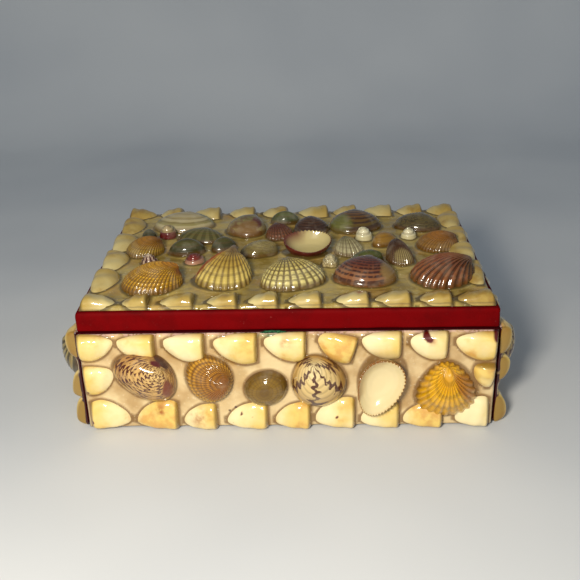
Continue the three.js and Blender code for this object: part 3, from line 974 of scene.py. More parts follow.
@dataclass
class Valve(BigShell):
    """One half of a clam, cockle or scallop, lying on its open side."""

    form: Form = VENUS
    relief: Relief = Relief()
    seed: int = 1
    POINTS_A_RIB = 10
    LEAST_AROUND = 96
    MOST_AROUND = 288
    RINGS_A_BEAD = 5
    LEAST_RINGS = 34

    @property
    def taper(self) -> float:
        """How much the outline narrows towards the beak."""
        return self.form.taper

    def rows(self) -> tuple[FloatArray, FloatArray]:
        """Works out the valve, from the beak to the edge.

        A growth line at share s is the disc's edge drawn in towards the beak to s of its distance. Height
        over the disc is a dome, (1 - r^2)^power, leaning to the beak, with a small bump at the beak. The
        grooves between ribs, the ridges along growth lines and the beads are cut in along the surface's
        normal.
        """
        relief, form = self.relief, self.form
        around = int(np.clip(self.POINTS_A_RIB * relief.ribs, self.LEAST_AROUND, self.MOST_AROUND))
        steps = max(self.LEAST_RINGS, self.RINGS_A_BEAD * relief.beads)
        share = np.sin(np.linspace(0.0, math.pi / 2, steps)) ** 0.95
        angle = TURN * np.arange(around) / around
        draw = np.random.default_rng(self.seed)
        phase = draw.uniform(0.0, TURN, 3)
        wobble = 1.0 + 0.014 * np.sin(2 * angle + phase[0]) + 0.01 * np.sin(3 * angle + phase[1])
        edge = np.stack([np.cos(angle), np.sin(angle)], -1) * wobble[:, None]
        beak = np.array(form.beak)
        disc = beak + share[:, None, None] * (edge - beak)
        radius = np.linalg.norm(disc, axis=2) / wobble[None, :]
        dome = np.clip(1.0 - radius ** 2, 0.0, None) ** form.power
        dome = dome * (1.0 + form.skew * disc[..., 1])
        bump = form.hook * np.exp(-(share / 0.15) ** 2)[:, None]
        low, high = self.panel.node_box(self.node)
        reach = float(np.max(high[:2] - low[:2])) / 2
        tall = float(high[2] - low[2])
        x = disc[..., 0] * (1.0 - form.taper * disc[..., 1]) * self.slim * reach
        y = (disc[..., 1] + 0.25 * bump) * reach
        rows = np.stack([x, y, (dome + bump) * tall], -1)
        rows = rows - normals(rows) * self.depth(share, angle, phase[2])[..., None]
        rows[-1, :, 2] = 0.0
        return rows, share

    def depth(self, share: FloatArray, angle: FloatArray, phase: float) -> FloatArray:
        """How deep the surface is cut at each growth share and angle, in millimetres."""
        relief = self.relief
        widen = smooth(share, 0.04, 0.4)[:, None]
        total = np.zeros((len(share), len(angle)))
        crest = 0.5 + 0.5 * np.cos(relief.ribs * angle)[None, :] if relief.ribs else np.ones((1, len(angle)))
        total += relief.rib_depth * (1.0 - crest ** 0.8) * widen
        uneven = share[:, None] + 0.012 * np.sin(3 * angle + phase)[None, :]
        total += relief.ring_depth * (0.5 - 0.5 * np.cos(TURN * relief.rings * uneven)) * widen
        total += relief.bead_depth * crest * (0.5 - 0.5 * np.cos(TURN * relief.beads * share))[:, None] * widen
        return total


@dataclass
class Dish(BigShell):
    """A valve lying on its back: its white inside shows, with a toothed edge."""

    lean: float = 0.0
    teeth: int = 44
    WIDENS = 0.2  # how much its upper end is wider
    BITE = 0.05  # depth of the teeth, as a share of the half width
    AROUND = 220
    RINGS = 56
    LIP = 6  # the lip's place in the profile

    # Down the inside from its middle to the lip, then the outside to the foot: share of the half width, of the height.
    PROFILE = ((0.0, 0.2), (0.3, 0.22), (0.55, 0.33), (0.74, 0.54), (0.87, 0.8), (0.95, 0.97), (0.985, 1.0),
               (1.0, 0.97), (0.985, 0.8), (0.93, 0.5), (0.84, 0.22), (0.74, 0.0))

    @property
    def taper(self) -> float:
        """How much the outline narrows towards its upper end: it widens."""
        return -self.WIDENS

    def rows(self) -> tuple[FloatArray, FloatArray]:
        """Turns a wall's profile about the upright axis, tapers it to one end and cuts teeth in its lip.

        The lip's height rises with y by lean, so that the dish opens towards its lower edge. The growth
        share runs from 1 in the middle of the inside to 0.6 at the lip, and from 0.45 down the outside.
        """
        profile = np.array(self.PROFILE)
        steps = np.linspace(0.0, len(profile) - 1.0, self.RINGS)
        radius = np.interp(steps, np.arange(len(profile)), profile[:, 0])
        height = np.interp(steps, np.arange(len(profile)), profile[:, 1])
        kernel = np.array([0.25, 0.5, 0.25])
        for line in (radius, height):
            line[1:-1] = np.convolve(line, kernel, mode="valid")
        angle = TURN * np.arange(self.AROUND) / self.AROUND
        near_lip = np.exp(-((steps - self.LIP) / 1.2) ** 2)
        bite = self.BITE * near_lip[:, None] * (0.5 - 0.5 * np.cos(self.teeth * angle))[None, :]
        low, high = self.panel.node_box(self.node)
        reach = float(np.max(high[:2] - low[:2])) / 2
        tall = float(high[2] - low[2])
        r = radius[:, None] * (1.0 - bite)
        y = r * np.sin(angle)[None, :]
        x = r * np.cos(angle)[None, :] * (1.0 + self.WIDENS * y) * self.slim
        z = (height[:, None] - bite) * (1.0 + self.lean * y) * tall
        share = np.where(steps <= self.LIP, 1.0 - 0.4 * steps / self.LIP, 0.45 - 0.4 * (steps - self.LIP) / self.LIP)
        return np.stack([x * reach, y * reach, z], -1), share


@dataclass
class Snail(BigShell):
    """A small low snail seen from its tip: a dome with one groove wound round it."""

    whorl: float = 1.55
    SETTLE = 1.2  # how far it is pressed into the putty, in millimetres
    SINK = 0.4
    AROUND = 96
    RINGS = 48
    MOUTH = 0.09  # the share of a turn over which the foot steps back

    def rows(self) -> tuple[FloatArray, FloatArray]:
        """Works out the snail, from its tip to its foot.

        The foot's radius grows with the angle a as whorl^(a / one turn), and steps back at the mouth. At
        radius r the coil has gone round log(r) / log(whorl) times; the tube bulges as the sine of the part
        that is over a whole number, on a dome of height 1 - r^1.7.
        """
        angle = TURN * np.arange(self.AROUND) / self.AROUND
        share = np.linspace(0.0, 1.0, self.RINGS) ** 1.3
        turn = angle / TURN
        opened = smooth(turn, 0.0, self.MOUTH)
        edge = self.whorl ** (opened * turn - 1.0) * opened + (1.0 - opened)
        radius = np.maximum(share[:, None] * edge[None, :], 1e-3)
        gone = np.log(radius) / math.log(self.whorl) - turn[None, :]
        bulge = np.abs(np.sin(math.pi * (gone % 1.0))) ** 0.7
        z = 1.0 - radius ** 1.7 / edge[None, :] ** 1.7 + 0.42 * radius * bulge * (1.0 - share[:, None] ** 8)
        r = radius * (1.0 + 0.06 * bulge)
        x, y = r * np.cos(angle)[None, :] * self.slim, r * np.sin(angle)[None, :]
        return np.stack([x, y, z * 0.8], -1), share

    def fitted(self, rows: FloatArray) -> FloatArray:
        """Fills the node's box, then settles deeper in the putty."""
        return super().fitted(rows) - np.array([0.0, 0.0, self.SETTLE])


# ---------------------------------------------------------------------------------------------------
# Beds
# ---------------------------------------------------------------------------------------------------
class Stain(Enum):
    """What marks a border shell or the bed beside it."""

    RUST = "rust"
    PIT = "pit"


@dataclass(frozen=True)
class Mark:
    """A stain at u, v on its panel, of a radius in millimetres."""

    u: float
    v: float
    radius: float
    kind: Stain


@dataclass
class ShellPanel:
    """One decorated face: its bed of putty, its border shells and its bigger shells.

    Attributes:
        panel: Where it is.
        borders: Its border shells.
        shells: Its bigger shells.
        limits: The bed's left, right, low and high edges, in millimetres.
        putty: The bed's finish.
        border: The border shells' finish.
        marks: Stains on the border shells and the bed.
        seed: Chooses the bed's unevenness.
    """

    panel: Panel
    borders: list[BorderShell]
    shells: list[BigShell]
    limits: tuple[float, float, float, float]
    putty: PuttyFinish
    border: BorderFinish
    marks: tuple[Mark, ...] = ()
    seed: int = 1
    STEP = 0.6  # distance between the bed's points
    ROUNDING = 0.9  # radius of its edges
    UNEVEN = 0.14  # height of its slow waves
    GRAIN = 0.06  # height of its short ones
    CLIMB = 0.45  # how high the putty climbs a shell
    CLIMB_REACH = 0.7  # how far from the shell it starts to
    VARNISH_AND_SHADE_REACH = 0.8  # how far from a shell the putty is painted darker, for pooled varnish and painted shade

    @property
    def edge_share(self) -> float:
        """The bed's height at its edges, as a share of its height elsewhere: low on the lid."""
        return 0.2 if self.panel is TOP else 0.45

    def bed(self) -> Surface:
        """Works out the bed.

        Its height is a level, plus gentle waves, plus a meniscus that climbs every shell: the height adds
        CLIMB times exp(-(distance / CLIMB_REACH)^2) of the nearest outline. Along the edges it rounds over
        to the board.
        """
        left, right, low, high = self.limits
        across = np.linspace(left, right, int((right - left) / self.STEP))
        up = np.linspace(low, high, int((high - low) / self.STEP))
        x, y = np.meshgrid(across, up)
        nearest = np.full_like(x, 99.0)
        for shell in [*self.borders, *self.shells]:
            nearest = np.minimum(nearest, shell.distance(x, y))
        outside = np.maximum(nearest, 0.0)
        level = BED_LEVEL - 0.2 + self.UNEVEN * waves(x, y, 4.0, 14.0, self.seed)
        level += self.GRAIN * waves(x, y, 1.3, 2.6, self.seed + 50) * smooth(outside, 0.4, 1.6)
        level += self.CLIMB * np.exp(-(outside / self.CLIMB_REACH) ** 2)
        edge = np.minimum.reduce([x - left, right - x, y - low, high - y])
        inset = np.clip(edge / self.ROUNDING, 0.0, 1.0)
        level *= self.edge_share + (1.0 - self.edge_share) * np.sqrt(1.0 - (1.0 - inset) ** 2)
        # rim: how close a shell is, which darkens the putty for pooled varnish and painted shade.
        rim = np.exp(-(outside / self.VARNISH_AND_SHADE_REACH) ** 2)
        ochre = smooth(waves(x, y, 12.0, 30.0, self.seed + 9), 0.2, 1.4)
        made = slab(np.stack([x, y, level], -1), 0.3, np.stack([rim, self.green(x, y), ochre], -1))
        made.growth[:, 0] = self.marked(made.points, Stain.PIT)
        if self.panel is not TOP:
            made.growth[:, 1] = smooth(made.points[:, 1], high - 0.6, high - 0.1)
            ends = np.minimum(made.points[:, 0] - left, right - made.points[:, 0])
            ragged = 0.25 + 0.2 * waves(made.points[:, 1], made.points[:, 0], 3.0, 9.0, self.seed + 20)
            made.growth[:, 2] = smooth(ends, ragged + 0.15, ragged - 0.15)
        return made

    def marked(self, points: FloatArray, kind: Stain) -> FloatArray:
        """How much the marks of a kind cover each point: exp(-(distance / radius)^2) of the nearest."""
        cover = np.zeros(len(points))
        for mark in self.marks:
            if mark.kind is kind:
                away = np.hypot(points[:, 0] - mark.u, points[:, 1] - mark.v)
                cover = np.maximum(cover, np.exp(-(away / mark.radius) ** 2))
        return cover

    def green(self, x: FloatArray, y: FloatArray) -> FloatArray:
        """How much the varnish is tinted green: near the cloth tab of the front, and nowhere else."""
        if self.panel is not FRONT:
            return np.zeros_like(x)
        return 0.8 * np.exp(-((x + 4.0) / 6.5) ** 2 - ((y - 39.4) / 1.2) ** 2)

    def border_surface(self) -> Surface:
        """All the border shells as one surface, with their stains in the tint."""
        surface = joined([shell.surface() for shell in self.borders])
        surface.tint[:, 1] = self.marked(surface.points, Stain.RUST)
        surface.tint[:, 2] = self.marked(surface.points, Stain.PIT)
        return surface

    def build(self) -> None:
        """Makes the bed, the border shells and the bigger shells."""
        name = self.panel.name
        bed = self.bed().laid(self.panel)
        made = bed.piece(f"{name}_putty_bed", self.putty.material(f"{name}_putty_finish"), "putty_and_border_shells")
        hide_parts(f"{name}_shell_bed")
        border = self.border_surface().laid(self.panel)
        border.piece(f"{name}_border_shells", self.border.material(f"{name}_border_finish"),
                     "putty_and_border_shells")
        for shell in self.shells:
            shell.build()


def border_row(count: int, first: tuple[float, float], last: tuple[float, float], slope: int, seed: int,
               length: float = 15.0) -> list[BorderShell]:
    """Border shells at equal steps, their cut ends to the right, each a little different.

    Args:
        count: How many.
        first: The first one's middle.
        last: The last one's middle.
        slope: Which side slopes.
        seed: Chooses their differences.
        length: Their length, in millimetres.

    Returns:
        The shells.
    """
    draw = np.random.default_rng(seed)
    shells = []
    for share in np.linspace(0.0, 1.0, count):
        u = first[0] + share * (last[0] - first[0])
        v = first[1] + share * (last[1] - first[1])
        shells.append(BorderShell(u, v, draw.uniform(-3, 3), length * draw.uniform(0.95, 1.0),
                                  BREADTH * draw.uniform(0.94, 1.0), slope, draw.uniform(0.0, 1.0)))
    return shells


# ---------------------------------------------------------------------------------------------------
# The box, the lid and the tab
# ---------------------------------------------------------------------------------------------------
def boxed_rings(profile: list[tuple[float, float]], half_width: float, half_depth: float, corner: float,
                ruffle: float, seed: int) -> Surface:
    """Carries an upright profile round a rectangle with rounded corners.

    Args:
        profile: Inset from the outline and height, from the first pole to the last.
        half_width: Half the outline along x.
        half_depth: Half the outline along y.
        corner: The corners' radius.
        ruffle: How uneven the paper is, in millimetres.
        seed: Chooses the unevenness.

    Returns:
        The closed surface.
    """
    quarter, between = 10, 28  # points round each corner, and along each side
    angle = np.repeat(np.arange(4) * math.pi / 2, quarter) + np.tile(
        np.linspace(0.0, math.pi / 2, quarter), 4)
    sides = np.repeat(np.array([[1, 1], [-1, 1], [-1, -1], [1, -1]]), quarter, axis=0)
    path = []
    centre = sides * np.array([half_width - corner, half_depth - corner])
    corners = centre + corner * np.stack([np.cos(angle), np.sin(angle)], -1)
    for start in range(4):
        arc = corners[start * quarter:(start + 1) * quarter]
        after = corners[((start + 1) % 4) * quarter]
        run = np.linspace(0.0, 1.0, between + 2)[1:-1, None]
        path.extend([arc, arc[-1] + run * (after - arc[-1])])
    outline = np.concatenate(path)
    rows = []
    for inset, height in profile:
        shrink = np.array([1.0 - inset / half_width, 1.0 - inset / half_depth])
        ring = outline * shrink
        rows.append(np.column_stack([ring, np.full(len(ring), height)]))
    grid = np.stack(rows)
    grid[0, :, :2], grid[-1, :, :2] = 0.0, 0.0
    bend = waves(grid[..., 0] + grid[..., 1] * 0.7, grid[..., 2] * 1.5, 3.0, 16.0, seed)
    grid = grid + normals(grid) * (ruffle * (bend - 1.0))[..., None]
    grid[..., 2] = np.maximum(grid[..., 2], 0.0)
    grid[0], grid[-1] = grid[0].mean(axis=0), grid[-1].mean(axis=0)
    return wrapped(grid, np.linspace(0.0, 1.0, len(profile)))


def rounded(start: tuple[float, float], end: tuple[float, float], steps: int) -> list[tuple[float, float]]:
    """Points of a straight line from start towards end, without the end."""
    return [(start[0] + (end[0] - start[0]) * i / steps, start[1] + (end[1] - start[1]) * i / steps)
            for i in range(steps)]


@dataclass
class BoxTray:
    """The tray: a floor, four walls and the shoulder that the lid drops over."""

    wall: float = 4.0
    floor: float = 3.0
    shoulder_inset: float = 2.2
    shoulder_height: float = 4.0
    corner: float = 0.9

    def build(self) -> None:
        """Makes the tray: its profile runs from under the floor, up the outside and down the inside."""
        top = SEAM_HEIGHT - 0.15
        rim = SEAM_HEIGHT + self.shoulder_height
        profile = [(WIDTH, 0.0), (30.0, 0.0), (1.2, 0.0), (0.4, 0.1), (0.08, 0.4)]
        profile += rounded((0.0, 0.9), (0.0, top - 0.5), 12)
        profile += [(0.0, top - 0.5), (0.15, top - 0.1), (0.5, top), (self.shoulder_inset - 0.2, top)]
        profile += rounded((self.shoulder_inset, top + 0.2), (self.shoulder_inset, rim - 0.4), 3)
        profile += [(self.shoulder_inset, rim - 0.4), (self.shoulder_inset + 0.3, rim), (self.wall - 0.3, rim),
                    (self.wall, rim - 0.3)]
        profile += rounded((self.wall, rim - 1.0), (self.wall, self.floor + 0.6), 8)
        profile += [(self.wall, self.floor + 0.6), (self.wall + 0.5, self.floor), (self.wall + 6.0, self.floor),
                    (WIDTH, self.floor)]
        surface = boxed_rings(profile[::-1], WIDTH / 2, DEPTH / 2, self.corner, 0.06, 3)
        finish = FlockFinish("4c0408", "2a0306", "8a3a38")
        made = surface.piece("box_tray", finish.material("box_paper"), "red_covering")
        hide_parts("box_body")


@dataclass
class Lid:
    """The lid: a board with a skirt all round, covered in red flock paper."""

    board: float = 3.4
    skirt: float = 1.8
    corner: float = 1.2

    def build(self) -> None:
        """Makes the lid: its profile runs over the top, down the outside and up the inside."""
        under = LID_TOP - self.board
        foot = SEAM_HEIGHT + 0.1
        profile = [(WIDTH, LID_TOP), (30.0, LID_TOP), (4.0, LID_TOP), (1.6, LID_TOP - 0.02), (1.0, LID_TOP - 0.15),
                   (0.55, LID_TOP - 0.5), (0.25, LID_TOP - 1.1)]
        profile += rounded((0.12, LID_TOP - 1.7), (0.12, foot + 0.7), 14)
        profile += [(0.12, foot + 0.7), (0.2, foot + 0.25), (0.5, foot), (self.skirt - 0.2, foot)]
        profile += rounded((self.skirt, foot + 0.3), (self.skirt, under - 0.3), 4)
        profile += [(self.skirt, under - 0.3), (self.skirt + 0.3, under), (12.0, under), (WIDTH, under)]
        surface = boxed_rings(profile, WIDTH / 2, DEPTH / 2, self.corner, 0.09, 11)
        finish = FlockFinish("6c0104", "400204", "b8605a")
        made = surface.piece("lid_cover", finish.material("lid_paper"), "red_covering")
        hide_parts("lid")


@dataclass
class PullTab:
    """What is left of a green felt tab under the lid's skirt, at the middle of the front."""

    fibres: int = 170

    def build(self) -> None:
        """Makes a fuzzy lens of felt and short fibres standing out of it."""
        low, high = FRONT.node_box("green_pull_tab")
        t = np.linspace(0.0, 1.0, 9)
        angle = TURN * np.arange(60) / 60
        draw = np.random.default_rng(5)
        rough = 1.0 + 0.1 * np.sin(11 * angle + 1.0) * draw.uniform(0.2, 1.0, 60)
        ring = np.sin(t * math.pi / 2)
        x = ring[:, None] * np.cos(angle)[None, :] * rough[None, :]
        y = ring[:, None] * np.sin(angle)[None, :] * rough[None, :]
        z = np.sqrt(np.clip(1.0 - t, 0, 1))[:, None] + 0.1 * draw.uniform(-1, 1, x.shape)
        rows = np.concatenate([np.stack([x, y, z], -1), np.stack([x[-1:] * 0.9, y[-1:] * 0.9, z[-1:] * 0 - 0.3], -1),
                               np.zeros((1, 60, 3)) + np.array([0.0, 0.0, -0.3])])
        least, most = rows.min(axis=(0, 1)), rows.max(axis=(0, 1))
        rows = low + (rows - least) / (most - least) * (high - low)
        rows[0], rows[-1] = rows[0].mean(axis=0), rows[-1].mean(axis=0)
        lens = wrapped(rows, np.zeros(len(rows)))
        finish = FeltFinish("0c3322", "3d7a52")
        made = joined([lens, self.fuzz(low, high, draw)]).laid(FRONT).piece(
            "green_felt_tab", finish.material("green_felt"), "green_cloth")
        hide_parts("green_pull_tab")

    def fuzz(self, low: FloatArray, high: FloatArray, draw: np.random.Generator) -> Surface:
        """Short fibres: thin three-sided spikes from random places of the tab, in random directions."""
        count = self.fibres
        root = low + (high - low) * np.column_stack([draw.uniform(0.04, 0.96, count),
                                                     draw.uniform(0.1, 0.85, count), np.full(count, 0.5)])
        way = draw.normal(0.0, 1.0, (count, 3)) * np.array([0.45, 0.35, 0.25])
        tip = np.clip(root + way, low, high)
        spoke = np.array([[1.0, 0.0, 0.0], [-0.5, 0.87, 0.0], [-0.5, -0.87, 0.0]]) * 0.05
        base = root[:, None] + spoke[None]
        points = np.concatenate([base, tip[:, None]], axis=1).reshape(-1, 3)
        start = 4 * np.arange(count)[:, None, None]
        faces = np.array([[0, 1, 3], [1, 2, 3], [2, 0, 3], [2, 1, 0]])[None]
        return Surface(points, np.zeros((0, 4), dtype=np.int64), (start + faces).reshape(-1, 3),
                       np.zeros_like(points), np.zeros_like(points))


# ---------------------------------------------------------------------------------------------------
# What lies where
# ---------------------------------------------------------------------------------------------------
CLEAR_PUTTY = PuttyFinish("e2c896", "bd9a66", "6e4814")
LID_PUTTY = PuttyFinish("b49c56", "88702a", "3e2e08")
BRIGHT_BORDER = BorderFinish("f8e6b2", "e8c66a", "d08f45", "84611a")
LID_BORDER = BorderFinish("cdbb80", "ae9146", "8e6a26", "4e3c0e")

LATTICE = Relief(ribs=26, rib_depth=0.5, rings=0, ring_depth=0.0, beads=10, bead_depth=0.32)
DENSE_LATTICE = Relief(ribs=38, rib_depth=0.4, rings=0, ring_depth=0.0, beads=15, bead_depth=0.24)
STRONG_RIBS = Relief(ribs=22, rib_depth=0.7, rings=12, ring_depth=0.18)
FAN_RIBS = Relief(ribs=24, rib_depth=0.6, rings=7, ring_depth=0.08)
TALL_RIBS = Relief(ribs=26, rib_depth=0.5, rings=8, ring_depth=0.16)
FINE_RIBS = Relief(ribs=36, rib_depth=0.24, rings=12, ring_depth=0.12)
BEADED_RIBS = Relief(ribs=24, rib_depth=0.4, rings=0, ring_depth=0.0, beads=9, bead_depth=0.3)
RIDGED = Relief(rings=13, ring_depth=0.28)
PLAIN = Relief(rings=8, ring_depth=0.08)

YELLOW = ShellFinish("b07208", "c8940e", "c09018", Pattern.ROWS, "7c4a08", 15, 0.35, ribs=38, groove=0.75, beads=15,
                     patches=(Patch("9a5a08", 90, 0.3, 60, 0.5),))
CREAM_LATTICE = ShellFinish("8a7430", "c8b464", "dccc80", ribs=26, groove=0.8, beads=10)
FAN_BROWN = ShellFinish("523008", "b08f38", "cdb45e", ribs=26, groove=0.6,
                        patches=(Patch("8a4410", 185, 0.7, 42, 0.6), Patch("56340f", 90, 0.1, 120, 0.35)))
PURPLE = ShellFinish("4a200c", "642c16", "86542c", Pattern.ROWS, "300806", 12, 0.85, bands=12,
                     patches=(Patch("8a6c3a", -28, 0.9, 30, 0.35),))
RED_RIBS = ShellFinish("4a2404", "5c1c08", "743a14", Pattern.RAYS, "a8743c", 22, 0.35, ribs=22, groove=0.85, bands=10,
                       patches=(Patch("5a3a0c", 90, 0.5, 70, 0.6),))
ORANGE = ShellFinish("6c4208", "94640c", "94741a", ribs=36, groove=0.5)
ZIGZAG = ShellFinish("e6cf98", "dcbd7c", "b0853e", Pattern.ZIGZAG, "471608", 5, 0.95)
FAINT_ZIGZAG = ShellFinish("b09c66", "a89668", "857a44", Pattern.RINGS, "c4b48c", 5, 0.5,
                           patches=(Patch("62682c", 20, 0.6, 50, 0.6),))
SPECKLED = ShellFinish("d8b472", "d0a560", "a87638", Pattern.CHEVRONS, "4e1c0a", 8, 1.0,
                       patches=(Patch("3c1218", 78, 0.75, 22, 0.5), Patch("5a1014", 105, 0.35, 26, 0.3),
                                Patch("7a3c22", -5, 0.7, 26, 0.3)))
OCHRE_RIBS = ShellFinish("8c5208", "b07618", "c48e28", Pattern.RINGS, "6e4210", 9, 0.6, ribs=36, groove=0.45,
                         patches=(Patch("94580a", -10, 0.5, 40, 0.35),))
SCALLOP_YELLOW = ShellFinish("dca014", "e4ac10", "cc9410", ribs=24, groove=0.25, bands=4,
                             patches=(Patch("b07008", 0, 0.7, 40, 0.6),))
GLASSY = ShellFinish("6c4e10", "84641c", "644810", Pattern.RAYS, "54401c", 27, 0.35, bands=5)
OLIVE = ShellFinish("3e4414", "4e5218", "363a12", bands=4)
GREY_GREEN = ShellFinish("34300c", "4c4816", "34300c", bands=5,
                         patches=(Patch("2e1c0c", 60, 0.7, 30, 0.35),))
DARK_CHIP = ShellFinish("4a4a28", "3c3c1e", "2e2e14", bands=4)
MOSSY = ShellFinish("3a3c10", "544e1c", "443e12", Pattern.RAYS, "8c8048", 16, 0.35, bands=5)
OLIVE_STRIPES = ShellFinish("6a5c28", "74682e", "8a7440", Pattern.ZIGZAG, "5e2010", 5, 0.5,
                            patches=(Patch("5a2414", -35, 0.6, 30, 0.3), Patch("7c5c30", -70, 0.85, 40, 0.3)))
UMBER = ShellFinish("3c200e", "4e2e14", "3a200e", Pattern.RINGS, "2a160a", 9, 0.6)
LINED = ShellFinish("4e2e08", "6c440e", "5a460a", Pattern.RINGS, "38200c", 8, 0.85,
                    patches=(Patch("66642a", 215, 0.85, 36, 0.3),))
MOTTLED = ShellFinish("5a4e22", "66582c", "54461e", Pattern.BLOTCHES, "322410", 17, 0.75)
BEADED = ShellFinish("4a1a0c", "5e240e", "74401c", ribs=24, groove=0.75, beads=9)
PALE = ShellFinish("8c7a44", "8a7a42", "6a5a28", Pattern.BLOTCHES, "4e3e18", 11, 0.5)
AMBER = ShellFinish("8a6614", "9a6e14", "8a6418", bands=4, patches=(Patch("2a0c14", 30, 0.8, 60, 0.6),))
SMALL_BROWN = ShellFinish("341808", "48280f", "5c4220", Pattern.RAYS, "241006", 30, 0.4, ribs=36, groove=0.6,
                          patches=(Patch("8a7848", -90, 0.95, 40, 0.25),))
GREY_FAN = ShellFinish("6e6a40", "948a60", "b3a880", Pattern.RAYS, "6a6238", 22, 0.5, ribs=20, groove=0.4)
TAN = ShellFinish("643c06", "925c0a", "825a0c", ribs=36, groove=0.3, bands=9)
BROWN_CLAM = ShellFinish("6a3e1a", "8c5c2e", "a07a48", Pattern.RINGS, "4a2810", 10, 0.6)
DARK_CLAM = ShellFinish("8a7c50", "9a8a58", "8c7a4c", Pattern.RINGS, "2e281c", 5, 0.85,
                        patches=(Patch("5c6030", -90, 0.9, 40, 0.3),))
WHITE_SNAIL = ShellFinish("cfc59c", "e2d9b4", "c9bc8c", bands=3)
DARK_SNAIL = ShellFinish("d8c4a4", "4a1c1c", "3a1414", Pattern.RAYS, "d0b49a", 9, 0.9)
RED_SNAIL = ShellFinish("5a0c0c", "6e1810", "b08468", bands=4)
RING_SNAIL = ShellFinish("a08a60", "b09c70", "6e1c10", bands=3, patches=(Patch("5a0c0a", 200, 1.0, 120, 0.35),))
DOTTED_SNAIL = ShellFinish("cfc090", "d9cca0", "b09c68", Pattern.BLOTCHES, "4a3018", 9, 0.7)

ROW_TOP = 33.9
ROW_LOW = 6.0
MIDDLE = 21.0
LONG_BED = (-75.4, 75.4, 0.5, 39.6)
SHORT_BED = (-50.3, 50.3, 0.5, 39.6)
LID_BED = (-74.0, 74.0, -50.3, 49.6)
LID_BREADTH = 10.0
LID_FOOT = 0.6  # height of the feet of the lid's border shells


def front_borders() -> list[BorderShell]:
    """The front's border shells: an upper and a lower row and one shell at each end between them."""
    upper = ((-69.0, 0.5, 180, 13.3, 10.8, 0.5), (-54.6, 0.1, 0, 14.4, 11.2, 0.45), (-37.3, 0.0, 0, 15.8, 11.7, 0.15),
             (-18.8, -0.5, 0, 16.7, 12.6, 0.5), (-0.9, 0.0, 0, 16.0, 12.0, 0.45), (17.3, -0.2, -14, 14.6, 11.6, 0.85),
             (33.6, 0.2, 0, 15.1, 11.4, 0.35), (50.4, 0.0, 0, 14.5, 11.6, 0.1), (67.4, -0.4, 0, 15.4, 11.8, 0.5))
    lower = ((-66.2, 1.0, 180, 15.3, 12.0, 0.35), (-49.2, 0.7, 0, 16.6, 12.4, 0.75), (-33.0, -0.3, 0, 13.1, 11.0, 0.4),
             (-15.6, -0.1, 0, 16.1, 11.4, 0.35), (1.4, -0.2, 0, 13.8, 11.2, 0.75), (17.0, 0.9, 0, 15.5, 13.2, 0.3),
             (33.5, -0.1, 0, 15.1, 11.2, 0.4), (49.2, -0.2, 0, 15.4, 10.9, 0.75), (67.3, 0.9, 0, 13.1, 12.8, 0.0))
    shells = [BorderShell(u, ROW_TOP + dv, turn, length, breadth, 1 if turn == 180 else -1, tone)
              for u, dv, turn, length, breadth, tone in upper]
    shells += [BorderShell(u, ROW_LOW + dv, turn, length, breadth, -1 if turn == 180 else 1, tone)
               for u, dv, turn, length, breadth, tone in lower]
    shells += [BorderShell(-69.1, MIDDLE, 180, 11.7, 12.4, 1, 0.4),
               BorderShell(71.0, MIDDLE + 0.5, 90, 10.6, 8.0, 1, 0.6)]
    return shells


def side_borders(front_edge: int, seed: int) -> list[BorderShell]:
    """A short side's border shells; front_edge says at which end the box's front is."""
    shells = [BorderShell(-43.2, ROW_TOP, 180, 14.6, BREADTH, 1, 0.4),
              BorderShell(-43.2, ROW_LOW, 180, 14.6, BREADTH, -1, 0.5)]
    shells += border_row(5, (-27.0, ROW_TOP), (42.8, ROW_TOP), -1, seed)
    shells += border_row(5, (-27.0, ROW_LOW), (42.8, ROW_LOW), 1, seed + 1)
    shells += [BorderShell(-44.0, MIDDLE + (1.0 if front_edge < 0 else 0.0), 180, 12.0, 10.6, 1, 0.5),
               BorderShell(44.0, MIDDLE - (3.5 if front_edge > 0 else 0.0), 0, 12.0, 10.6, 1, 0.3)]
    return shells


def back_borders() -> list[BorderShell]:
    """The back's border shells."""
    shells = [BorderShell(-68.4, ROW_TOP, 180, 14.2, BREADTH, 1, 0.3),
              BorderShell(-68.2, ROW_LOW, 180, 15.0, BREADTH, -1, 0.6)]
    shells += border_row(8, (-52.0, ROW_TOP), (67.8, ROW_TOP), -1, 61)
    shells += border_row(8, (-51.0, ROW_LOW), (67.8, ROW_LOW), 1, 62, 14.6)
    shells += [BorderShell(-69.0, MIDDLE, 180, 12.6, 11.0, 1, 0.4), BorderShell(69.5, MIDDLE, 0, 12.6, 11.0, 1, 0.5)]
    return shells


